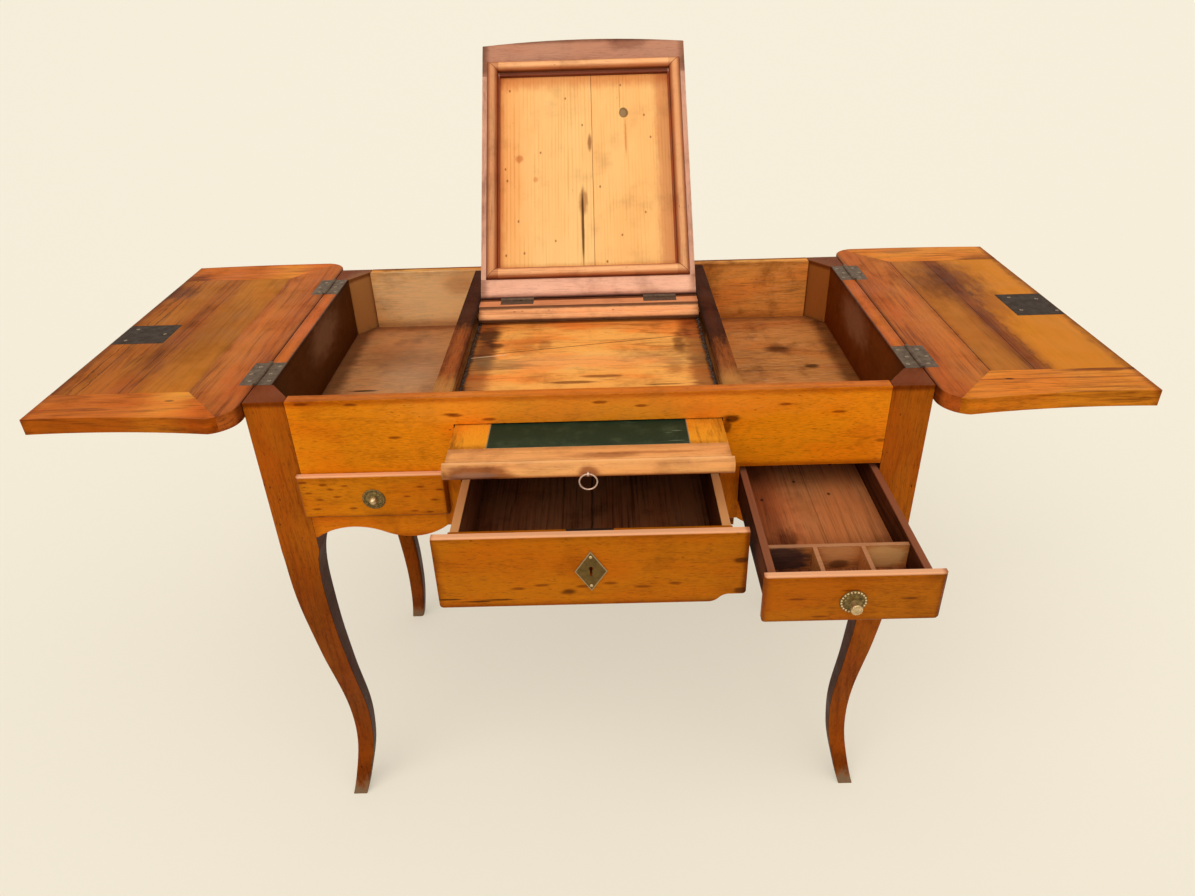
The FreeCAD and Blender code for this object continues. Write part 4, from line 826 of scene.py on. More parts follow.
class InsideOperator(bpy.types.Operator):
    """Finish the partitions, floors, runners and the recessed centre board"""

    bl_idname = "poudreuse.inside"
    bl_label = "Inside boards"

    def execute(self, context):
        for side, sign, rear in (("left", -1, -25), ("right", 1, -100)):
            groove, middle, half = sign * 162, (230 + rear) / 2, (230 - rear) / 2
            marks = (
                # Painted shade on the face towards the centre well, by the groove
                Band(0, groove - 3, groove + 3, 2, "#5A4438", 0.6, "MULTIPLY", 5),
                Band(2, TOP - 4, TOP + 10, 2, "#E8B890", 0.9),
                Spot((sign * 174, middle, TOP), (40, half, 22), "#5A3C38", 0.9, "MULTIPLY", 0.15, 0.5),
                Spot((sign * 172, -225, TOP), (30, 40, 20), "#FFB860", 0.25, "MIX", 0.6),
            )
            board(f"partition_{side}", BARE, GRAIN_Y, marks, tint="#BEB3AB")
        floor = (
            Band(0, -400, 0, 4, "#B88C64", 0.3, "MIX"),
            *stains(
                FLOOR_LEVEL, 6,
                (331, 21, 11, 7, "#3A2418", 0.8),
                (291, 85, 20, 12, "#6A5A54", 0.7),
                (-330, -23, 18, 2.5, "#241810", 0.9, "MULTIPLY", 0.4, 1.0),
            ),
            *stains(
                FLOOR_LEVEL, 9,
                (-270, 40, 40, 90, "#D0A880", 0.3, "MIX", 0.8),
                (-300, 90, 60, 40, "#A88878", 0.5, "MULTIPLY", 0.8),
            ),
            Band(1, -221, -190, 16, "#7A5A48", 0.6, "MULTIPLY", 16),
            Band(1, 200, 221, 12, "#7A5A48", 0.6, "MULTIPLY", 16),
            Band(0, -400, -366, 10, "#6A4A3A", 0.7, "MULTIPLY", 14),
            Band(0, 366, 400, 10, "#6A4A3A", 0.7, "MULTIPLY", 14),
            Band(0, -196, -180, 7, "#5A4034", 0.7, "MULTIPLY", 10),
            Band(0, 180, 196, 7, "#5A4034", 0.7, "MULTIPLY", 10),
        )
        board("well_floors", BARE, GRAIN_X, floor, tint="#E3CEBE")
        board("drawer_runners", BARE, GRAIN_Y, tint="#C8B8A8")
        self.centre()
        return {"FINISHED"}

    def centre(self):
        """The recessed board: gold, stained beside its two grooves, with painted shade along them, a painted
        shadow under the batten's nose and one open seam.
        """
        marks = (
            # Painted shadow under the batten's nose
            Band(1, 31, 42, 2.5, "#4A2818", 0.8),
            Band(0, -170, -128, 10, "#8A5438", 0.65, "MULTIPLY", 26),
            Band(0, 132, 170, 9, "#8A5A40", 0.7, "MULTIPLY", 26),
            Band(1, 10, 60, 20, "#C08858", 0.6, "MULTIPLY", 26),
            *stains(
                CENTRE_LEVEL, 6,
                (-142, -10, 16, 26, "#4A2A1E", 0.85),
                (-140, -72, 14, 44, "#6A4030", 0.7),
                (-118, -110, 34, 12, "#8A5A40", 0.6),
                (-128, -45, 10, 8, "#4A261A", 0.7),
                (124, -52, 7, 30, "#6A3820", 0.7, "MULTIPLY", 0.6, 2.6),
                (113, -130, 12, 20, "#8A5A40", 0.5, "MULTIPLY", 0.6, 2.6),
                (134, -14, 9, 20, "#7A4A30", 0.5, "MULTIPLY", 0.6, 2.6),
                (-22, -164, 30, 4, "#6E4434", 0.75),
                (18, -148, 26, 4, "#6E4434", 0.7),
                (96, -176, 22, 1.6, "#4A2A1C", 0.75, "MULTIPLY", 0.4, 0.8),
                (-60, -45, 9, 14, "#8A5A40", 0.4),
                (-10, -100, 120, 24, "#F8C880", 0.25, "MIX", 0.8),
            ),
            # Painted shade along both grooves, beside the partitions
            Band(0, -170, -156, 3, "#3A2A22", 0.85, "MULTIPLY", 8),
            Band(0, 156, 170, 3, "#3A2A22", 0.85, "MULTIPLY", 8),
            Seam((-167, -79), (164, -19), 0.7, "#2E1408", 0.9),
            Seam((-160, -84), (-110, -75), 1.0, "#F0D8B0", 0.5, "MIX"),
        )
        board("centre_board", BOARD, GRAIN_X, marks)


class LeavesOperator(bpy.types.Operator):
    """Finish the two side leaves: stiles, mitred clamps and planks with their seams"""

    bl_idname = "poudreuse.leaves"
    bl_label = "Side leaves"

    def execute(self, context):
        for side, sign, tint in (("left", -1, "#E4E4A4"), ("right", 1, "#E8DCC8")):
            stile = (
                self.span(sign, 2, 34, 24, "#E8A898", 0.5, wander=26),
                self.span(sign, -1, 2.5, 2, "#6A4030", 0.7),
            )
            board(f"{side}_leaf_stile", LEAF, GRAIN_Y, stile, tint="#F8F4EC")
            clamps, planks = self.left(sign) if side == "left" else self.right(sign)
            knot = self.blot(sign, 90, -226, 5, 2, 8, "#3A1A0C", 0.8)
            board(f"{side}_leaf_clamps", GOLD, GRAIN_X, (knot, *clamps))
            board(f"{side}_leaf_planks", LEAF, GRAIN_Y, planks, tint=tint)
        return {"FINISHED"}

    def span(self, sign, low, high, soft, code, amount, blend="MULTIPLY", wander=0.0):
        """A band between two distances out from the hinge line."""
        ends = sorted((sign * (HINGE_LINE + low), sign * (HINGE_LINE + high)))
        return Band(0, *ends, soft, code, amount, blend, wander)

    def blot(self, sign, out, along, wide, long, deep, *look):
        """A spot on the open leaf, some way out from the hinge line."""
        return Spot((sign * (HINGE_LINE + out), along, TOP), (wide, long, deep), *look)

    def right(self, sign):
        """Marks of the right leaf, whose outer plank is gold behind a dark streak."""
        clamps = (
            # Painted shade on the clamps' front edges
            Facing((0, -1, 0), "#E3DC8A", 0.8),
            Band(1, -228, -225, 1, "#8A5830", 0.5, "MULTIPLY", 4),
            self.blot(sign, 205, -206, 46, 5, 9, "#7A4820", 0.75),
            self.blot(sign, 230, 206, 34, 20, 9, "#8A5A30", 0.5),
            self.span(sign, 244, 262, 8, "#8A5028", 0.6, "MULTIPLY", 14),
        )
        planks = (
            self.span(sign, 148, 262, 12, "#DC8616", 0.68, "MIX", 16),
            self.span(sign, 78, 128, 5, "#B8741C", 0.4, "MIX", 6),
            self.span(sign, 122, 152, 16, "#8A5838", 0.62, "MULTIPLY", 12),
            self.blot(sign, 152, 120, 34, 70, 9, "#7A4E2C", 0.7, "MULTIPLY", 0.75, 1.6),
            self.blot(sign, 104, 96, 22, 60, 9, "#8A5A34", 0.6, "MULTIPLY", 0.75, 1.6),
            self.blot(sign, 168, 20, 16, 60, 9, "#9A6838", 0.5, "MULTIPLY", 0.75, 1.6),
            self.span(sign, 130.4, 131.4, 0.4, "#24100A", 0.9),
            self.span(sign, 147, 149, 1.6, "#4A2814", 0.45, "MULTIPLY", 22),
            self.span(sign, 240, 262, 9, "#6A3C1C", 0.7, "MULTIPLY", 24),
            self.span(sign, 75.4, 77, 0.5, "#24100A", 0.9),
        )
        return clamps, planks

    def left(self, sign):
        """Marks of the left leaf, browner and more even, with dark stains at its far corner."""
        clamps = (
            self.span(sign, 0, 62, 20, "#E09070", 0.55, "MULTIPLY", 20),
            # Painted shade on the clamps' front edges
            Facing((0, -1, 0), "#CBC286", 0.9),
            self.blot(sign, 90, -214, 30, 12, 9, "#FFC050", 0.2, "MIX", 0.6),
            self.span(sign, 110, 262, 30, "#D8A888", 0.7, "MULTIPLY", 30),
            self.blot(sign, 236, 196, 30, 34, 9, "#5A2E18", 0.7, "MULTIPLY", 0.6, 2.0),
            self.blot(sign, 246, 188, 10, 12, 9, "#2A140C", 0.6, "MULTIPLY", 0.6, 2.0),
            self.span(sign, 250, 262, 6, "#A05A30", 0.5, "MULTIPLY", 10),
        )
        planks = (
            self.span(sign, 60, 150, 14, "#D8841C", 0.3, "MIX", 20),
            self.blot(sign, 128, -20, 46, 110, 9, "#B49C70", 0.55, "MULTIPLY", 0.9, 1.0),
            self.span(sign, 140, 176, 14, "#D8A068", 0.4, "MULTIPLY", 30),
            self.span(sign, 150.4, 151.2, 0.4, "#24100A", 0.8, "MULTIPLY", 2),
            self.span(sign, 162, 163, 0.5, "#3A1C10", 0.6, "MULTIPLY", 6),
            self.span(sign, 214, 215.6, 0.8, "#3A1C10", 0.7, "MULTIPLY", 9),
            self.span(sign, 226, 228, 1, "#3A1C10", 0.6, "MULTIPLY", 12),
            self.span(sign, 236, 262, 12, "#8A5430", 0.5, "MULTIPLY", 22),
            self.blot(sign, 236, 150, 26, 30, 9, "#5A2E18", 0.6, "MULTIPLY", 0.6, 2.0),
        )
        return clamps, planks


class FlapOperator(bpy.types.Operator):
    """Finish the mirror flap: pinkish frame, half-round moulding and the bare pine behind"""

    bl_idname = "poudreuse.flap"
    bl_label = "Mirror flap"

    def execute(self, context):
        along = straight_grain((FLAP_OPEN, 0, -math.pi / 2))
        box = on_closed_flap("flap_clamps")
        tip = box[0][1]
        # The outer side is waxed and browned like the leaves that lie beside it
        outside = tuple(Euler(FLAP_TURN).to_matrix().transposed() @ Vector((0, 0, 1)))
        waxed = Facing(outside, "#A4581E", 0.7, "MIX")
        flap_board("flap_show_panel", CASE, along)
        low, high = on_closed_flap("mirror_moulding")
        wide = 18
        inner = high[0] - wide
        front, rear = low[1] + wide, high[1] - wide
        # The frame's own opening, inside the moulding, is darkened by painted shade from the moulding
        clamps = (
            Band(1, tip - 5, tip + 60, 6, "#C0B2A8", 0.9, "MULTIPLY", 6),
            Band(1, tip - 5, tip + 5, 4, "#8A7468", 0.6, "MULTIPLY", 6),
            Band(0, -170, -152, 5, "#9A8478", 0.6, "MULTIPLY", 6),
            Band(0, 152, 170, 5, "#C0B0A8", 0.5, "MULTIPLY", 6),
            # Painted shade at the flap's foot, where it stands on the batten
            Band(1, -8, 1, 3, "#9A6A58", 0.6, "MULTIPLY", 4),
            Band(1, -5, 1, 0.8, "#5A3428", 0.85),
            Spot((70, tip + 6, 0), (30, 14, 8), "#9A6858", 0.5),
            # Painted shade: a dark line under the moulding's inner edge
            Seam((-inner, front + 3.5), (inner, front + 3.5), 4, "#7A4628", 0.95),
            waxed,
        )
        flap_board("flap_clamps", FLAP, straight_grain(FLAP_TURN), clamps, box)
        # Painted shade on the stiles' inner edges, inside the moulding
        stiles = (Band(0, -inner - 1.5, inner + 1.5, 0.8, "#A8704C"), waxed)
        flap_board("flap_stiles", FLAP, along, stiles, box)
        flap_board("flap_backboards", PINE, along, self.pine(inner, front, rear))
        mitre = Mitre(high[0], low[1], high[1], wide)
        bars = (
            # Painted shade along both edges of the half-round, and dark lines in the corner joints
            JointAndEdgeShade(mitre, False, 1.5, 7.5, "#B08468", 0.9),
            JointAndEdgeShade(mitre, False, 0.4, 1.8, "#6A3A20", 0.75),
            JointAndEdgeShade(mitre, True, 0.3, 1.0, "#6A3A20", 0.75),
            # Painted shade on the side bars, deeper on the left
            Band(0, -160, -inner + 1, 0.8, "#D8CCC8"),
            Band(0, inner - 1, 160, 0.8, "#E8E0DC"),
        )
        flap_board("mirror_moulding", MOULD, mitred_grain(mitre), bars)
        return {"FINISHED"}

    def pine(self, inner, front, rear):
        """Marks of two pine boards with a knot and a crack, darker in bands along the moulding."""
        worm = ((-137, -362), (-118, -356), (-70, -246), (-122, -199), (-125, -219), (94, -307), (22, -185),
                (54, -103), (-105, -130), (-48, -96), (103, -268), (91, -140), (-124, -74), (-96, -77),
                (58, -361), (-30, -340), (-4, -292), (30, -60))
        return (
            Band(0, 11, 400, 0.8, "#FFE8D0", 0.3, "MULTIPLY", 1.5),
            Band(0, 10.6, 11.6, 0.35, "#8A5430", 0.8, "MULTIPLY", 1),
            Band(0, inner - 24, inner + 4, 9, "#DCC4C4", 0.9, "MULTIPLY", 16),
            Band(0, -inner - 4, -inner + 9, 7, "#DCB098", 0.7, "MULTIPLY", 12),
            Band(0, -inner - 4, -inner + 40, 36, "#F8CCAC", 0.6, "MULTIPLY", 26),
            Band(1, front - 4, front + 24, 12, "#D09878", 0.65, "MULTIPLY", 16),
            Band(1, rear - 6, rear + 4, 5, "#DCA880", 0.5, "MULTIPLY", 9),
            *stains(
                PINE_LEVEL, 9,
                (-6, -118, 2.0, 62, "#4C2C18", 0.9, "MULTIPLY", 0.35, 0.5),
                (-5, -160, 6, 20, "#8A5438", 0.6),
                (7, -262, 3, 13, "#7A4C30", 0.7),
                (62, -312, 7.5, 9, "#5A4028", 0.85, "MIX", 0.12, 0.5),
                (61, -311, 5, 6.4, "#9A7A54", 0.8, "MIX", 0.25, 0.8),
                (64, -270, 1.6, 34, "#C08860", 0.6),
                (56, -345, 0.8, 30, "#A86C44", 0.5),
                (-104, -236, 6, 6, "#C88860", 0.6),
                (-78, -200, 4, 5, "#D09868", 0.5),
                *((x, y, 1.4, 2.2, "#8A5430", 0.75, "MULTIPLY", 0.4, 0.6) for x, y in worm),
            ),
        )


class BattenOperator(bpy.types.Operator):
    """Finish the sliding batten: its nose left pale as a painted highlight, with painted shade at its step,
    at its rear beside the flap, under its nose and at its ends
    """

    bl_idname = "poudreuse.batten"
    bl_label = "Batten"

    def execute(self, context):
        low, high = box_of("carriage_batten")
        marks = (
            # The land behind the nose is darkened, so that the nose stands out as a painted highlight
            Band(1, low[1] + 13, high[1] + 2, 1, "#DCB4A8", 0.8, "MULTIPLY", 2),
            # Painted shade along the step
            Band(1, low[1] + 11.5, low[1] + 14.5, 0.8, "#3A1E14", 0.85, "MULTIPLY", 1),
            # Painted shade at the rear, beside the flap
            Band(1, low[1] + 35.5, high[1] + 2, 1, "#4A2A20", 0.85, "MULTIPLY", 1),
            # The nose is only lightly tinted, as part of its painted highlight
            Band(1, low[1] - 2, low[1] + 12, 1, "#FFF4EC", 0.8, "MULTIPLY", 2),
            # Painted shadow under the nose, where it meets the centre board
            Band(2, low[2] - 2, low[2] + 4.5, 1.6, "#3A1E14", 0.85, "MULTIPLY", 1),
            # Painted shade at both ends
            Band(0, low[0] - 2, low[0] + 10, 6, "#9A6C50", 0.5, "MULTIPLY", 9),
            Band(0, high[0] - 10, high[0] + 2, 6, "#9A6C50", 0.5, "MULTIPLY", 9),
        )
        board("carriage_batten", MOULD, GRAIN_X, marks)
        return {"FINISHED"}


class SlideOperator(bpy.types.Operator):
    """Finish the writing slide: gold stiles, worn front rail and scratched green leather"""

    bl_idname = "poudreuse.slide"
    bl_label = "Writing slide"

    def execute(self, context):
        low, high = box_of("writing_slide_front_rail")
        nose = low[1] + 11
        eye = box_of("ring_staple")[0]
        rail = (
            Band(1, nose + 2, high[1] + 2, 3, "#E8C8A8", 0.3, "MULTIPLY", 3),
            Spot((20, nose + 8, 682), (34, 6, 8), "#8A6A5A", 0.6),
            Spot((70, nose + 12, 682), (50, 3, 8), "#A07A60", 0.5),
            # Painted highlight along the nosing
            Band(1, nose - 4.5, nose - 1, 1.2, "#FFC080", 0.35, "MIX", 2),
            Band(2, low[2] - 2, low[2] + 5, 2.5, "#A86438", 0.7, "MULTIPLY", 3),
            Spot((low[0] + 40, low[1] + 1, 672), (40, 9, 9), "#9A7664", 0.85, "MULTIPLY", 0.25, 0.8),
            Spot((low[0] + 36, low[1] + 1, 671), (26, 6, 4), "#8A8078", 0.25, "MIX", 0.4, 0.8),
            Spot((eye[0] + 2, low[1] + 1, 672), (11, 9, 7), "#8A4A2C", 0.7),
            Band(1, nose - 0.6, nose + 0.4, 0.5, "#9A6444", 0.5),
        )
        board("writing_slide_front_rail", MOULD, GRAIN_X, rail, tint="#F8F0D0")
        board("writing_slide_stiles", BOARD, GRAIN_Y, tint="#F2E080")
        board("writing_slide_board", BARE, GRAIN_Y, tint="#D8C8B8")
        dress("writing_slide_leather", self.leather(context.scene.poudreuse_fittings))
        return {"FINISHED"}

    def leather(self, look):
        """Dark green hide, dyed and glued down: fine grain, rubbed haze and a few pale scratches."""
        material, tree, place = new_tree("dyed_green_leather")
        own = add(tree, MAP, {"Scale": (1000,) * 3}, {"Vector": place})
        # Hide grain is about 0.7 mm; it is drawn at 1.6 mm so that it shows
        cells = add(tree, CELLS, {"Scale": 1 / 1.6}, {"Vector": own})
        haze = add(tree, NOISE, {"Scale": 1 / 30, "Detail": 6, "Roughness": 0.65}, {"Vector": own})
        haze = add(tree, RANGE, eased(0.45, 0.8, 0, 0.35), {0: haze})
        hide = {**laid(look.leather_worn, "MIX"), FIRST: (*look.leather, 1)}
        shade = add(tree, MIX, hide, {FACTOR: haze}, MIXED)
        # The scratches lie on the right part only
        right = add(tree, RANGE, eased(40, 90), {0: add(tree, SPLIT, {}, {0: own})})
        where = add(tree, NOISE, {"Scale": 1 / 45}, {"Vector": own})
        where = chain(tree, "MULTIPLY", add(tree, RANGE, eased(0.46, 0.56), {0: where}), right)
        turns = ((0.5, 0.66), (-0.9, 0.68), (1.4, 0.68))
        shade = scratched(tree, shade, own, (60, 2.0, 1), turns, "#A0A888", 0.03, (where, 0.5))
        rim = edge_distance(tree, own, box_of("writing_slide_leather"))
        rim = add(tree, RANGE, eased(0.4, 1.4, 0.6, 0), {0: rim})
        shade = add(tree, MIX, laid("#A89878", "MIX"), {FIRST: shade, FACTOR: rim}, MIXED)
        bump = add(tree, "ShaderNodeBump", {"Strength": 0.3, "Distance": 0.0003}, {"Height": cells})
        fixed = {"IOR": 1.5, "Roughness": 0.55, "Specular IOR Level": 0.15}
        finish_tree(tree, fixed, {"Base Color": shade, "Normal": bump})
        return material


class DrawersOperator(bpy.types.Operator):
    """Finish the three drawers: waxed fronts, dark linings, tan rims and stained cells"""

    bl_idname = "poudreuse.drawers"
    bl_label = "Drawers"

    def execute(self, context):
        fronts = {"left": "#DBDBD8", "centre": "#C9C5C0", "right": "#BEB7B0"}
        for name, tint in fronts.items():
            low, high = box_of(f"{name}_drawer_front")
            marks = [
                # Painted highlight along the top edge
                Band(2, high[2] - 1.6, high[2] + 2, 0.8, "#FFBC8C", 0.7, "MIX"),
                Band(0, high[0] - 4, high[0] + 2, 3, "#9A6038", 0.7, "MULTIPLY", 5),
                Band(2, low[2] - 2, low[2] + 3, 3, "#A0683C", 0.5, "MULTIPLY", 6),
                Band(0, low[0] - 2, low[0] + 2, 2, "#A87048", 0.5, "MULTIPLY", 4),
            ]
            for places, *look in self.specks_of(name, low[2]):
                marks += specks(places, low[1], *look)
            board(f"{name}_drawer_front", CASE, GRAIN_X, marks, "board", tint)
            low, high = box_of(f"{name}_drawer_box")
            rim = "#8E5438" if name == "right" else "#DC9C60"
            rims = (
                Facing((-1, 0, 0), "#907464", 0.8),
                Band(2, high[2] - 1.5, high[2] + 2, 1, rim, 0.8, "MIX"),
                Band(2, low[2] - 2, low[2] + 16, 14, "#8A6A56", 0.5),
            )
            board(f"{name}_drawer_box", LINING, GRAIN_Y, rims)
        seam = (Band(0, -1.2, 1.2, 0.8, "#2A140C", 0.8, "MULTIPLY", 3),)
        board("centre_drawer_bottom", LINING, GRAIN_Y, seam)
        board("left_drawer_bottom", LINING, GRAIN_Y)
        self.tray()
        return {"FINISHED"}

    def specks_of(self, name, foot):
        """Worm holes and dents of a front: their places, radii, colour and amount."""
        if name == "left":
            places = ((-357, 612), (-324, 601), (-340, 586), (-204, 564), (-223, 566), (-188, 597),
                      (-352, 596), (-346, 572), (-332, 608), (-318, 590), (-306, 606), (-212, 602),
                      (-196, 582), (-230, 588), (-300, 572), (-344, 560))
            return ((places, (5, 1.5), "#7A3414", 0.65),)
        if name == "centre":
            scrapes = ((-169, 526), (-131, 522), (-107, 524))
            dents = ((-84, 540), (-58, 544), (-10, 541), (22, 545), (58, 539), (96, 543))
            chips = ((-26, foot + 20), (171, 574), (173, 530))
            return (
                (scrapes, (18, 1.2), "#3A1408", 0.8),
                (dents, (8, 2), "#6A2C12", 0.6),
                (chips, (8, 4), "#4A1C0A", 0.75),
            )
        places = ((212, 590), (240, 566), (268, 600), (300, 558), (330, 588))
        return ((places, (9, 1.4), "#6A2C12", 0.6),)

    def tray(self):
        """The open drawer's bottom with its crack and stains, and the dividers of its three cells."""
        crumbs = ((214, -250), (262, -210), (240, -160), (300, -240), (318, -170), (226, -120))
        tray = (
            Band(0, 275, 276, 0.6, "#4A2818", 0.7, "MULTIPLY", 2),
            *stains(TRAY_LEVEL, 9, (300, -300, 50, 110, "#C87C40", 0.4, "MIX", 0.8)),
            Band(0, 180, 232, 12, "#A87860", 0.6, "MULTIPLY", 16),
            Band(1, -400, -340, 26, "#8A6454", 0.6, "MULTIPLY", 30),
            *stains(
                TRAY_LEVEL, 9,
                (232, -330, 14, 16, "#6A4030", 0.6, "MULTIPLY", 0.6, 2.0),
                (219, -415, 26, 26, "#2A2024", 0.85),
                *((x, y, 2.2, 3, "#2A140C", 0.8, "MULTIPLY", 0.4, 0.6) for x, y in crumbs),
            ),
        )
        board("right_drawer_bottom", TRAY, GRAIN_Y, tray)
        low, high = box_of("right_drawer_dividers")
        wide = (high[0] - low[0]) / 3
        back = high[1] - 4
        cells = (
            Spot((low[0] + wide * 0.42, back, 586), (wide * 0.5, 8, 17), "#1C1820", 0.86, "MIX", 0.3, 1.2),
            Spot((low[0] + wide * 1.5, back, 592), (wide * 0.44, 8, 14), "#D09058", 0.6, "MIX", 0.4),
            Spot((low[0] + wide * 1.55, back, 578), (wide * 0.2, 8, 6), "#5A3424", 0.7),
            Spot((low[0] + wide * 2.5, back, 588), (wide * 0.44, 8, 15), "#DCA868", 0.7, "MIX", 0.4),
            Band(2, high[2] - 1.2, high[2] + 2, 1, "#AC7854", 0.7, "MIX"),
        )
        board("right_drawer_dividers", BARE, GRAIN_X, cells, tint="#D8C0B0")


class IronOperator(bpy.types.Operator):
    """Finish hinges, lock plates and the lock, and set the screws of the leaf hinges"""

    bl_idname = "poudreuse.iron"
    bl_label = "Iron"

    def execute(self, context):
        look = context.scene.poudreuse_fittings
        # Hand-filed wrought iron, rusted and rubbed: mottled brown grey with a dull gleam
        worn = metal_material("filed_wrought_iron", look.iron, look.iron_dark, 9, 0.5, 0.7, 0.6)
        # The lock plates keep their brown forge scale: nearly even
        scale = [c * 0.75 for c in look.scale]
        dark = metal_material("scaled_wrought_iron", look.scale, scale, 12, 0.56, 0.5, 0.5)
        # The flap's hinges are thinner, browned by handling
        brown = metal_material("oiled_wrought_iron", look.flap_iron, look.iron_dark, 7, 0.56, 0.5, 0.6)
        hinges = ("leaf_hinge_case_plates", "leaf_hinge_pins", "left_leaf_hinge_plates",
                  "right_leaf_hinge_plates")
        flap_hinges = ("batten_hinge_plates", "flap_hinge_plates", "flap_hinge_pins")
        locks = ("left_leaf_lock_plate", "right_leaf_lock_plate", "drawer_lock_case", "drawer_lock_bolt")
        for nodes, iron in ((hinges, worn), (flap_hinges, brown), (locks, dark)):
            for node in nodes:
                dress(node, iron)
        # Screw heads are rubbed bright
        bright = metal_material("rubbed_iron_screws", look.screw, look.iron, 3, 0.42, 0.8, 0.3)
        dice = random.Random(11)
        # Three screws hold each plate, set out from the hinge line, the middle one a little further
        rows = (("case", (-1, 1), -0.0124), ("left_leaf", (-1,), 0.0122), ("right_leaf", (1,), 0.0122))
        plates, screws = (-0.157, 0.157), ((-0.021, -0.002), (0.0, 0.003), (0.021, -0.002))
        for body, sides, away in rows:
            mesh = bmesh.new()
            for side in sides:
                for plate in plates:
                    for along, out in screws:
                        spot = Vector((side * (HINGE_LINE / 1000 + away + out), plate + along, TOP / 1000))
                        self.screw(mesh, spot, dice.uniform(0, math.pi), look)
            new_piece(f"{body}_hinge_screws", mesh, body, bright)
        # Screws of the lock plates, as shares of each plate's width and length
        shares = (
            ("left_leaf", ((0.2, 0.2), (0.2, 0.8), (0.85, 0.5))),
            ("right_leaf", ((0.2, 0.24), (0.8, 0.75), (0.93, 0.18), (0.25, 0.85))),
        )
        for body, places in shares:
            low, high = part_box(f"{body}_lock_plate")
            mesh = bmesh.new()
            for across, along in places:
                x, y = low.x + (high.x - low.x) * across, low.y + (high.y - low.y) * along
                self.screw(mesh, Vector((x, y, high.z)), dice.uniform(0, math.pi), look)
            new_piece(f"{body}_lock_plate_screws", mesh, body, bright)
        return {"FINISHED"}

    def screw(self, mesh, spot, turn, look):
        """A low screw head in two halves with the slot between them."""
        radius, rise = look.screw_radius, look.screw_rise
        slot = radius * 0.16
        start = math.asin(slot / radius)
        rim = [start + (math.pi - 2 * start) * index / 10 for index in range(11)]
        for half in (0, math.pi):
            matrix = Matrix.Translation(spot) @ Matrix.Rotation(turn + half, 4, "Z")
            foot, crest = [], []
            for angle in rim:
                x, y = radius * math.cos(angle), radius * math.sin(angle)
                foot.append(mesh.verts.new(matrix @ Vector((x, y, 0))))
                crest.append(mesh.verts.new(matrix @ Vector((x * 0.86, max(slot, y * 0.86), rise))))
            mesh.faces.new(crest)
            for index in range(10):
                mesh.faces.new((foot[index], foot[index + 1], crest[index + 1], crest[index]))
            mesh.faces.new((foot[-1], foot[0], crest[0], crest[-1]))


class KnobsOperator(bpy.types.Operator):
    """Turn the two brass knobs: a beaded rose with a button on a stem, and a plain dome"""

    bl_idname = "poudreuse.knobs"
    bl_label = "Knobs"

    def execute(self, context):
        look = context.scene.poudreuse_fittings
        # Cast roses, tarnished in their hollows under rubbed beads
        cast = metal_material("cast_brass_rose", look.brass, look.brass_dark, 4, 0.42, 0.9, 0.7)
        # Turned grips that fingers keep bright
        grip = metal_material("turned_brass_grip", look.brass_bright, look.brass, 4, 0.32, 0.9, 0.7)
        rose = [(0.0, 0.0), (14.2, 0.0), (14.5, 0.5), (14.1, 1.1), (12.9, 1.3), (11.4, 0.9), (10.6, 1.1),
                (8.6, 1.9), (6.4, 2.2), (4.6, 2.3), (3.4, 2.5), (0.0, 2.6)]
        button = [(3.8, 2.0), (3.5, 3.2), (3.4, 9.5), (4.0, 10.4), (5.4, 11.2), (6.1, 12.2), (6.2, 13.2),
                  (5.8, 14.2), (5.2, 14.6), (4.5, 14.7), (3.2, 15.1), (1.4, 15.6), (0.0, 15.7)]
        dome = [(5.2, 2.0), (5.3, 3.2), (5.0, 4.8), (4.2, 6.8), (2.7, 8.6), (1.2, 9.3), (0.0, 9.4)]
        for side, profile in (("left", dome), ("right", button)):
            low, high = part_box(f"{side}_drawer_knob")
            foot = Vector(((low.x + high.x) / 2, high.y, (low.z + high.z) / 2))
            matrix = Matrix.Translation(foot) @ Matrix.Rotation(math.pi / 2, 4, "X") @ Matrix.Scale(0.001, 4)
            mesh = bmesh.new()
            turned(mesh, rose, 48, matrix)
            if side == "left":
                beads(mesh, matrix, look.bead_count, 12.6, 1.0, (1.45, 1.45, 1.1))
            beads(mesh, matrix, 14, 8.2, 1.4, (2.5, 1.3, 0.9))
            shade_smooth(mesh)
            plain = f"{side}_drawer_knob"
            new_piece(f"{side}_knob_rose", mesh, f"{side}_drawer", cast, (plain,))
            mesh = bmesh.new()
            turned(mesh, profile, 40, matrix)
            if side == "right":
                beads(mesh, matrix, look.bead_count, 12.6, 1.0, (1.5, 1.5, 1.2))
                beads(mesh, matrix, 16, 5.3, 14.3, (0.8, 0.8, 0.7))
                beads(mesh, matrix, 9, 2.8, 15.0, (0.8, 0.8, 0.5))
            shade_smooth(mesh)
            new_piece(f"{side}_knob_grip", mesh, f"{side}_drawer", grip)
        return {"FINISHED"}


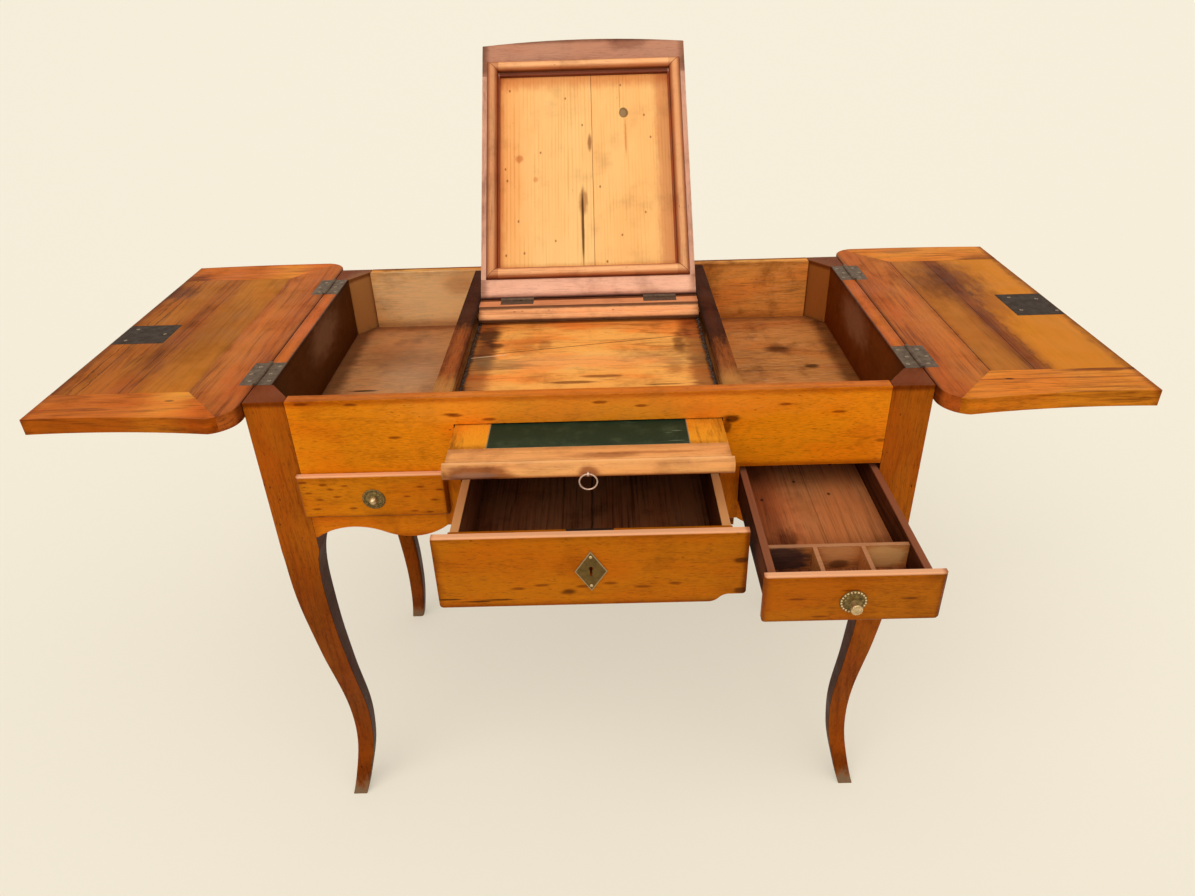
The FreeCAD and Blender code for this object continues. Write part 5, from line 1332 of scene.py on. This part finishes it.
class EscutcheonOperator(bpy.types.Operator):
    """Finish the brass lozenge with its bright border and drive its two pins"""

    bl_idname = "poudreuse.escutcheon"
    bl_label = "Escutcheon"

    def execute(self, context):
        look = context.scene.poudreuse_fittings
        # Rolled sheet brass filed to a lozenge: olive brown, with a line rubbed bright near its rim
        brass = metal_material("filed_sheet_brass", look.sheet, look.sheet_dark, 7, 0.46, 0.85, 0.4)
        low, high = box_of("escutcheon")
        centre = [(a + b) / 2 for a, b in zip(low, high)]
        tree = brass.node_tree
        place = add(tree, PLACES, output="Object")
        shift = {"Scale": (1000,) * 3, "Location": [-c for c in centre]}
        own = add(tree, MAP, shift, {"Vector": place})
        own = add(tree, VECTOR, {"operation": "ABSOLUTE"}, {0: own})
        x, _, z = add(tree, SPLIT, {}, {0: own}, None).outputs
        x = chain(tree, "MULTIPLY", x, 2 / (high[0] - low[0]))
        z = chain(tree, "MULTIPLY", z, 2 / (high[2] - low[2]))
        line = add(tree, RANGE, eased(0.9, 0.94, 0, 0.35), {0: chain(tree, "ADD", x, z)})
        shader = next(n for n in tree.nodes if n.bl_idname == "ShaderNodeBsdfPrincipled")
        under = shader.inputs["Base Color"].links[0].from_socket
        shade = add(tree, MIX, laid([*look.brass_bright], "MIX"), {FIRST: under, FACTOR: line}, MIXED)
        tree.links.new(shade, shader.inputs["Base Color"])
        dress("escutcheon", brass, 0.0003)
        pins = metal_material("rubbed_brass_pins", look.brass_bright, look.brass, 3, 0.35, 0.8, 0.2)
        mesh = bmesh.new()
        for rise in (-0.72, 0.72):
            spot = Vector((0, low[1], centre[2] + rise * (high[2] - low[2]) / 2)) / 1000
            matrix = Matrix.Translation(spot) @ Matrix.Rotation(math.pi / 2, 4, "X") @ Matrix.Scale(0.001, 4)
            turned(mesh, [(2.0, 0.0), (1.9, 0.5), (1.3, 0.9), (0.0, 1.1)], 16, matrix)
        shade_smooth(mesh)
        new_piece("escutcheon_pins", mesh, "centre_drawer", pins)
        return {"FINISHED"}


class RingOperator(bpy.types.Operator):
    """Bend the ring pull from round wire and finish its staple"""

    bl_idname = "poudreuse.ring"
    bl_label = "Ring pull"

    def execute(self, context):
        look = context.scene.poudreuse_fittings
        # Drawn iron wire rubbed bright by fingers, with a pinkish bloom
        worn = [c * 0.5 for c in look.ring_iron]
        wire = metal_material("rubbed_drawn_iron", look.ring_iron, worn, 6, 0.34, 0.8, 0.4)
        low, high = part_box("pull_ring")
        centre = (low + high) / 2
        radius = (high.x - low.x) / 2 - (high.y - low.y) / 2
        mesh = bmesh.new()
        steps, flats = 56, 14
        rings = []
        for index in range(steps):
            angle = math.tau * index / steps
            out = Vector((math.cos(angle), 0, math.sin(angle)))
            ring = []
            for flat in range(flats):
                turn = math.tau * flat / flats
                rise = Vector((0, look.ring_wire * math.sin(turn), 0))
                ring.append(mesh.verts.new(centre + out * (radius + look.ring_wire * math.cos(turn)) + rise))
            rings.append(ring)
        for one, two in zip(rings, rings[1:] + rings[:1]):
            for flat in range(flats):
                after = (flat + 1) % flats
                mesh.faces.new((one[flat], one[after], two[after], two[flat]))
        shade_smooth(mesh)
        new_piece("ring_pull_wire", mesh, "pull_ring", wire, ("pull_ring",))
        dress("ring_staple", wire)
        return {"FINISHED"}


class GritOperator(bpy.types.Operator):
    """Scatter the old grit that lies along the two grooves of the centre board"""

    bl_idname = "poudreuse.grit"
    bl_label = "Groove grit"

    def execute(self, context):
        # Wood dust, soot and old wax: dull black with pale crumbs
        grit = metal_material("dry_groove_dust", linear("#6A6058"), linear("#1C1614"), 2, 0.7, 0.0, 0.2)
        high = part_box("centre_board")[1]
        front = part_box("front_board")[1].y
        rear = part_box("carriage_batten")[0].y
        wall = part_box("partition_right")[0].x
        dice = random.Random(5)
        crumbs = 230
        mesh = bmesh.new()
        for side in (-1, 1):
            for _ in range(crumbs):
                size = dice.uniform(0.0004, 0.0012)
                x = side * (wall - size - 0.0002 - abs(dice.gauss(0, 0.0022)))
                y = dice.uniform(front + 0.003, rear - 0.003)
                turn = Matrix.Rotation(dice.uniform(0, 3), 4, "Z")
                place = Matrix.Translation((x, y, high.z + size * 0.45)) @ turn
                shape = Matrix.Diagonal((size, size * dice.uniform(0.6, 1.6), size * 0.6, 1))
                bmesh.ops.create_icosphere(mesh, subdivisions=1, radius=1, matrix=place @ shape)
        new_piece("groove_grit", mesh, "case", grit)
        return {"FINISHED"}


class StageOperator(bpy.types.Operator):
    """Lay the cream floor, light it softly and set the camera at the photograph's place"""

    bl_idname = "poudreuse.stage"
    bl_label = "Stage"

    def execute(self, context):
        scene = context.scene
        look = scene.poudreuse_stage
        self.floor(scene, look)
        self.world(scene, look)
        suns = (("Key", look.key, (-0.45, -1.0, 1.25)), ("Fill", look.fill, (0.8, -0.5, 1.0)))
        for name, strength, away in suns:
            light = bpy.data.lights.new(name, "SUN")
            light.energy = strength
            light.angle = look.softness
            lamp = bpy.data.objects.new(name, light)
            lamp.rotation_euler = Vector(away).to_track_quat("Z", "Y").to_euler()
            scene.collection.objects.link(lamp)
        self.camera(scene)
        scene.view_settings.view_transform = "Standard"
        return {"FINISHED"}

    def floor(self, scene, look):
        # Seamless paper: matt and even, so only the table's soft shadow shows on it
        material, tree, _ = new_tree("seamless_paper")
        paper = (*look.paper, 1)
        lit = add(tree, "ShaderNodeBsdfDiffuse", {"Color": paper, "Roughness": 0.3})
        plain = add(tree, "ShaderNodeEmission", {"Color": paper, "Strength": 1.0})
        even = chain(tree, "MULTIPLY", self.seen(tree), look.evenness)
        mixed = add(tree, "ShaderNodeMixShader", {}, {0: even, 1: lit, 2: plain})
        add(tree, "ShaderNodeOutputMaterial", {}, {"Surface": mixed}, None)
        mesh = bmesh.new()
        corners = [mesh.verts.new((x, y, 0)) for x, y in ((-40, -40), (40, -40), (40, 40), (-40, 40))]
        mesh.faces.new(corners)
        data = bpy.data.meshes.new("floor")
        mesh.to_mesh(data)
        mesh.free()
        data.materials.append(material)
        floor = bpy.data.objects.new("floor", data)
        scene.collection.objects.link(floor)

    def seen(self, tree):
        """One for rays that show the backdrop: those of the camera, of gloss and of glass."""
        rays = add(tree, "ShaderNodeLightPath", output=None).outputs
        shown = (rays[f"Is {kind} Ray"] for kind in ("Camera", "Glossy", "Transmission"))
        return chain(tree, "MAXIMUM", *shown)

    def world(self, scene, look):
        world = bpy.data.worlds.new("Soft room")
        scene.world = world
        world.use_nodes = True
        tree = world.node_tree
        tree.nodes.clear()
        seen = self.seen(tree)
        lit = add(tree, "ShaderNodeBackground", {"Color": (1, 1, 1, 1), "Strength": look.sky})
        paper = {"Color": (*look.paper, 1), "Strength": 1.0}
        backdrop = add(tree, "ShaderNodeBackground", paper)
        mixed = add(tree, "ShaderNodeMixShader", {}, {0: seen, 1: lit, 2: backdrop})
        add(tree, "ShaderNodeOutputWorld", {}, {"Surface": mixed}, None)

    def camera(self, scene):
        """Stand where the photograph was taken; the focal length is in pixels of its 1195 wide frame."""
        wide, focal = 1195, 848.69
        stand, yaw, pitch, roll = (0.0206, -1.1295, 1.1775), -0.0117, 0.5374, -0.0317
        ahead = Vector((math.sin(yaw) * math.cos(pitch), math.cos(yaw) * math.cos(pitch), -math.sin(pitch)))
        level = Vector((math.cos(yaw), -math.sin(yaw), 0))
        upright = level.cross(ahead)
        right = math.cos(roll) * level + math.sin(roll) * upright
        up = -math.sin(roll) * level + math.cos(roll) * upright
        data = bpy.data.cameras.new("Camera")
        data.sensor_width = 36
        data.lens = focal * data.sensor_width / wide
        data.clip_start, data.clip_end = 0.05, 200
        camera = bpy.data.objects.new("Camera", data)
        turn = Matrix((right, up, -ahead)).transposed().to_4x4()
        camera.matrix_world = Matrix.Translation(stand) @ turn
        scene.collection.objects.link(camera)
        scene.camera = camera


PIECES = (LegsOperator, CaseOperator, InsideOperator, LeavesOperator, FlapOperator, BattenOperator,
          SlideOperator, DrawersOperator, IronOperator, KnobsOperator, EscutcheonOperator, RingOperator,
          GritOperator, StageOperator)


class PoudreusePanel(bpy.types.Panel):
    bl_idname = "VIEW3D_PT_poudreuse"
    bl_label = "Poudreuse"
    bl_space_type = "VIEW_3D"
    bl_region_type = "UI"
    bl_category = "Poudreuse"

    def draw(self, context):
        for piece in PIECES:
            self.layout.operator(piece.bl_idname)
        for name in GROUPS:
            column = self.layout.column(align=True)
            group = getattr(context.scene, name)
            for key in group.__class__.__annotations__:
                column.prop(group, key)


CLASSES = (*GROUPS.values(), *PIECES, PoudreusePanel)


def register():
    for item in CLASSES:
        bpy.utils.register_class(item)
    for name, group in GROUPS.items():
        setattr(bpy.types.Scene, name, PointerProperty(type=group))


def unregister():
    for name in GROUPS:
        delattr(bpy.types.Scene, name)
    for item in reversed(CLASSES):
        bpy.utils.unregister_class(item)


def main():
    register()
    for piece in PIECES:
        group, name = piece.bl_idname.split(".")
        getattr(getattr(bpy.ops, group), name)()


if __name__ == "__main__":
    main()
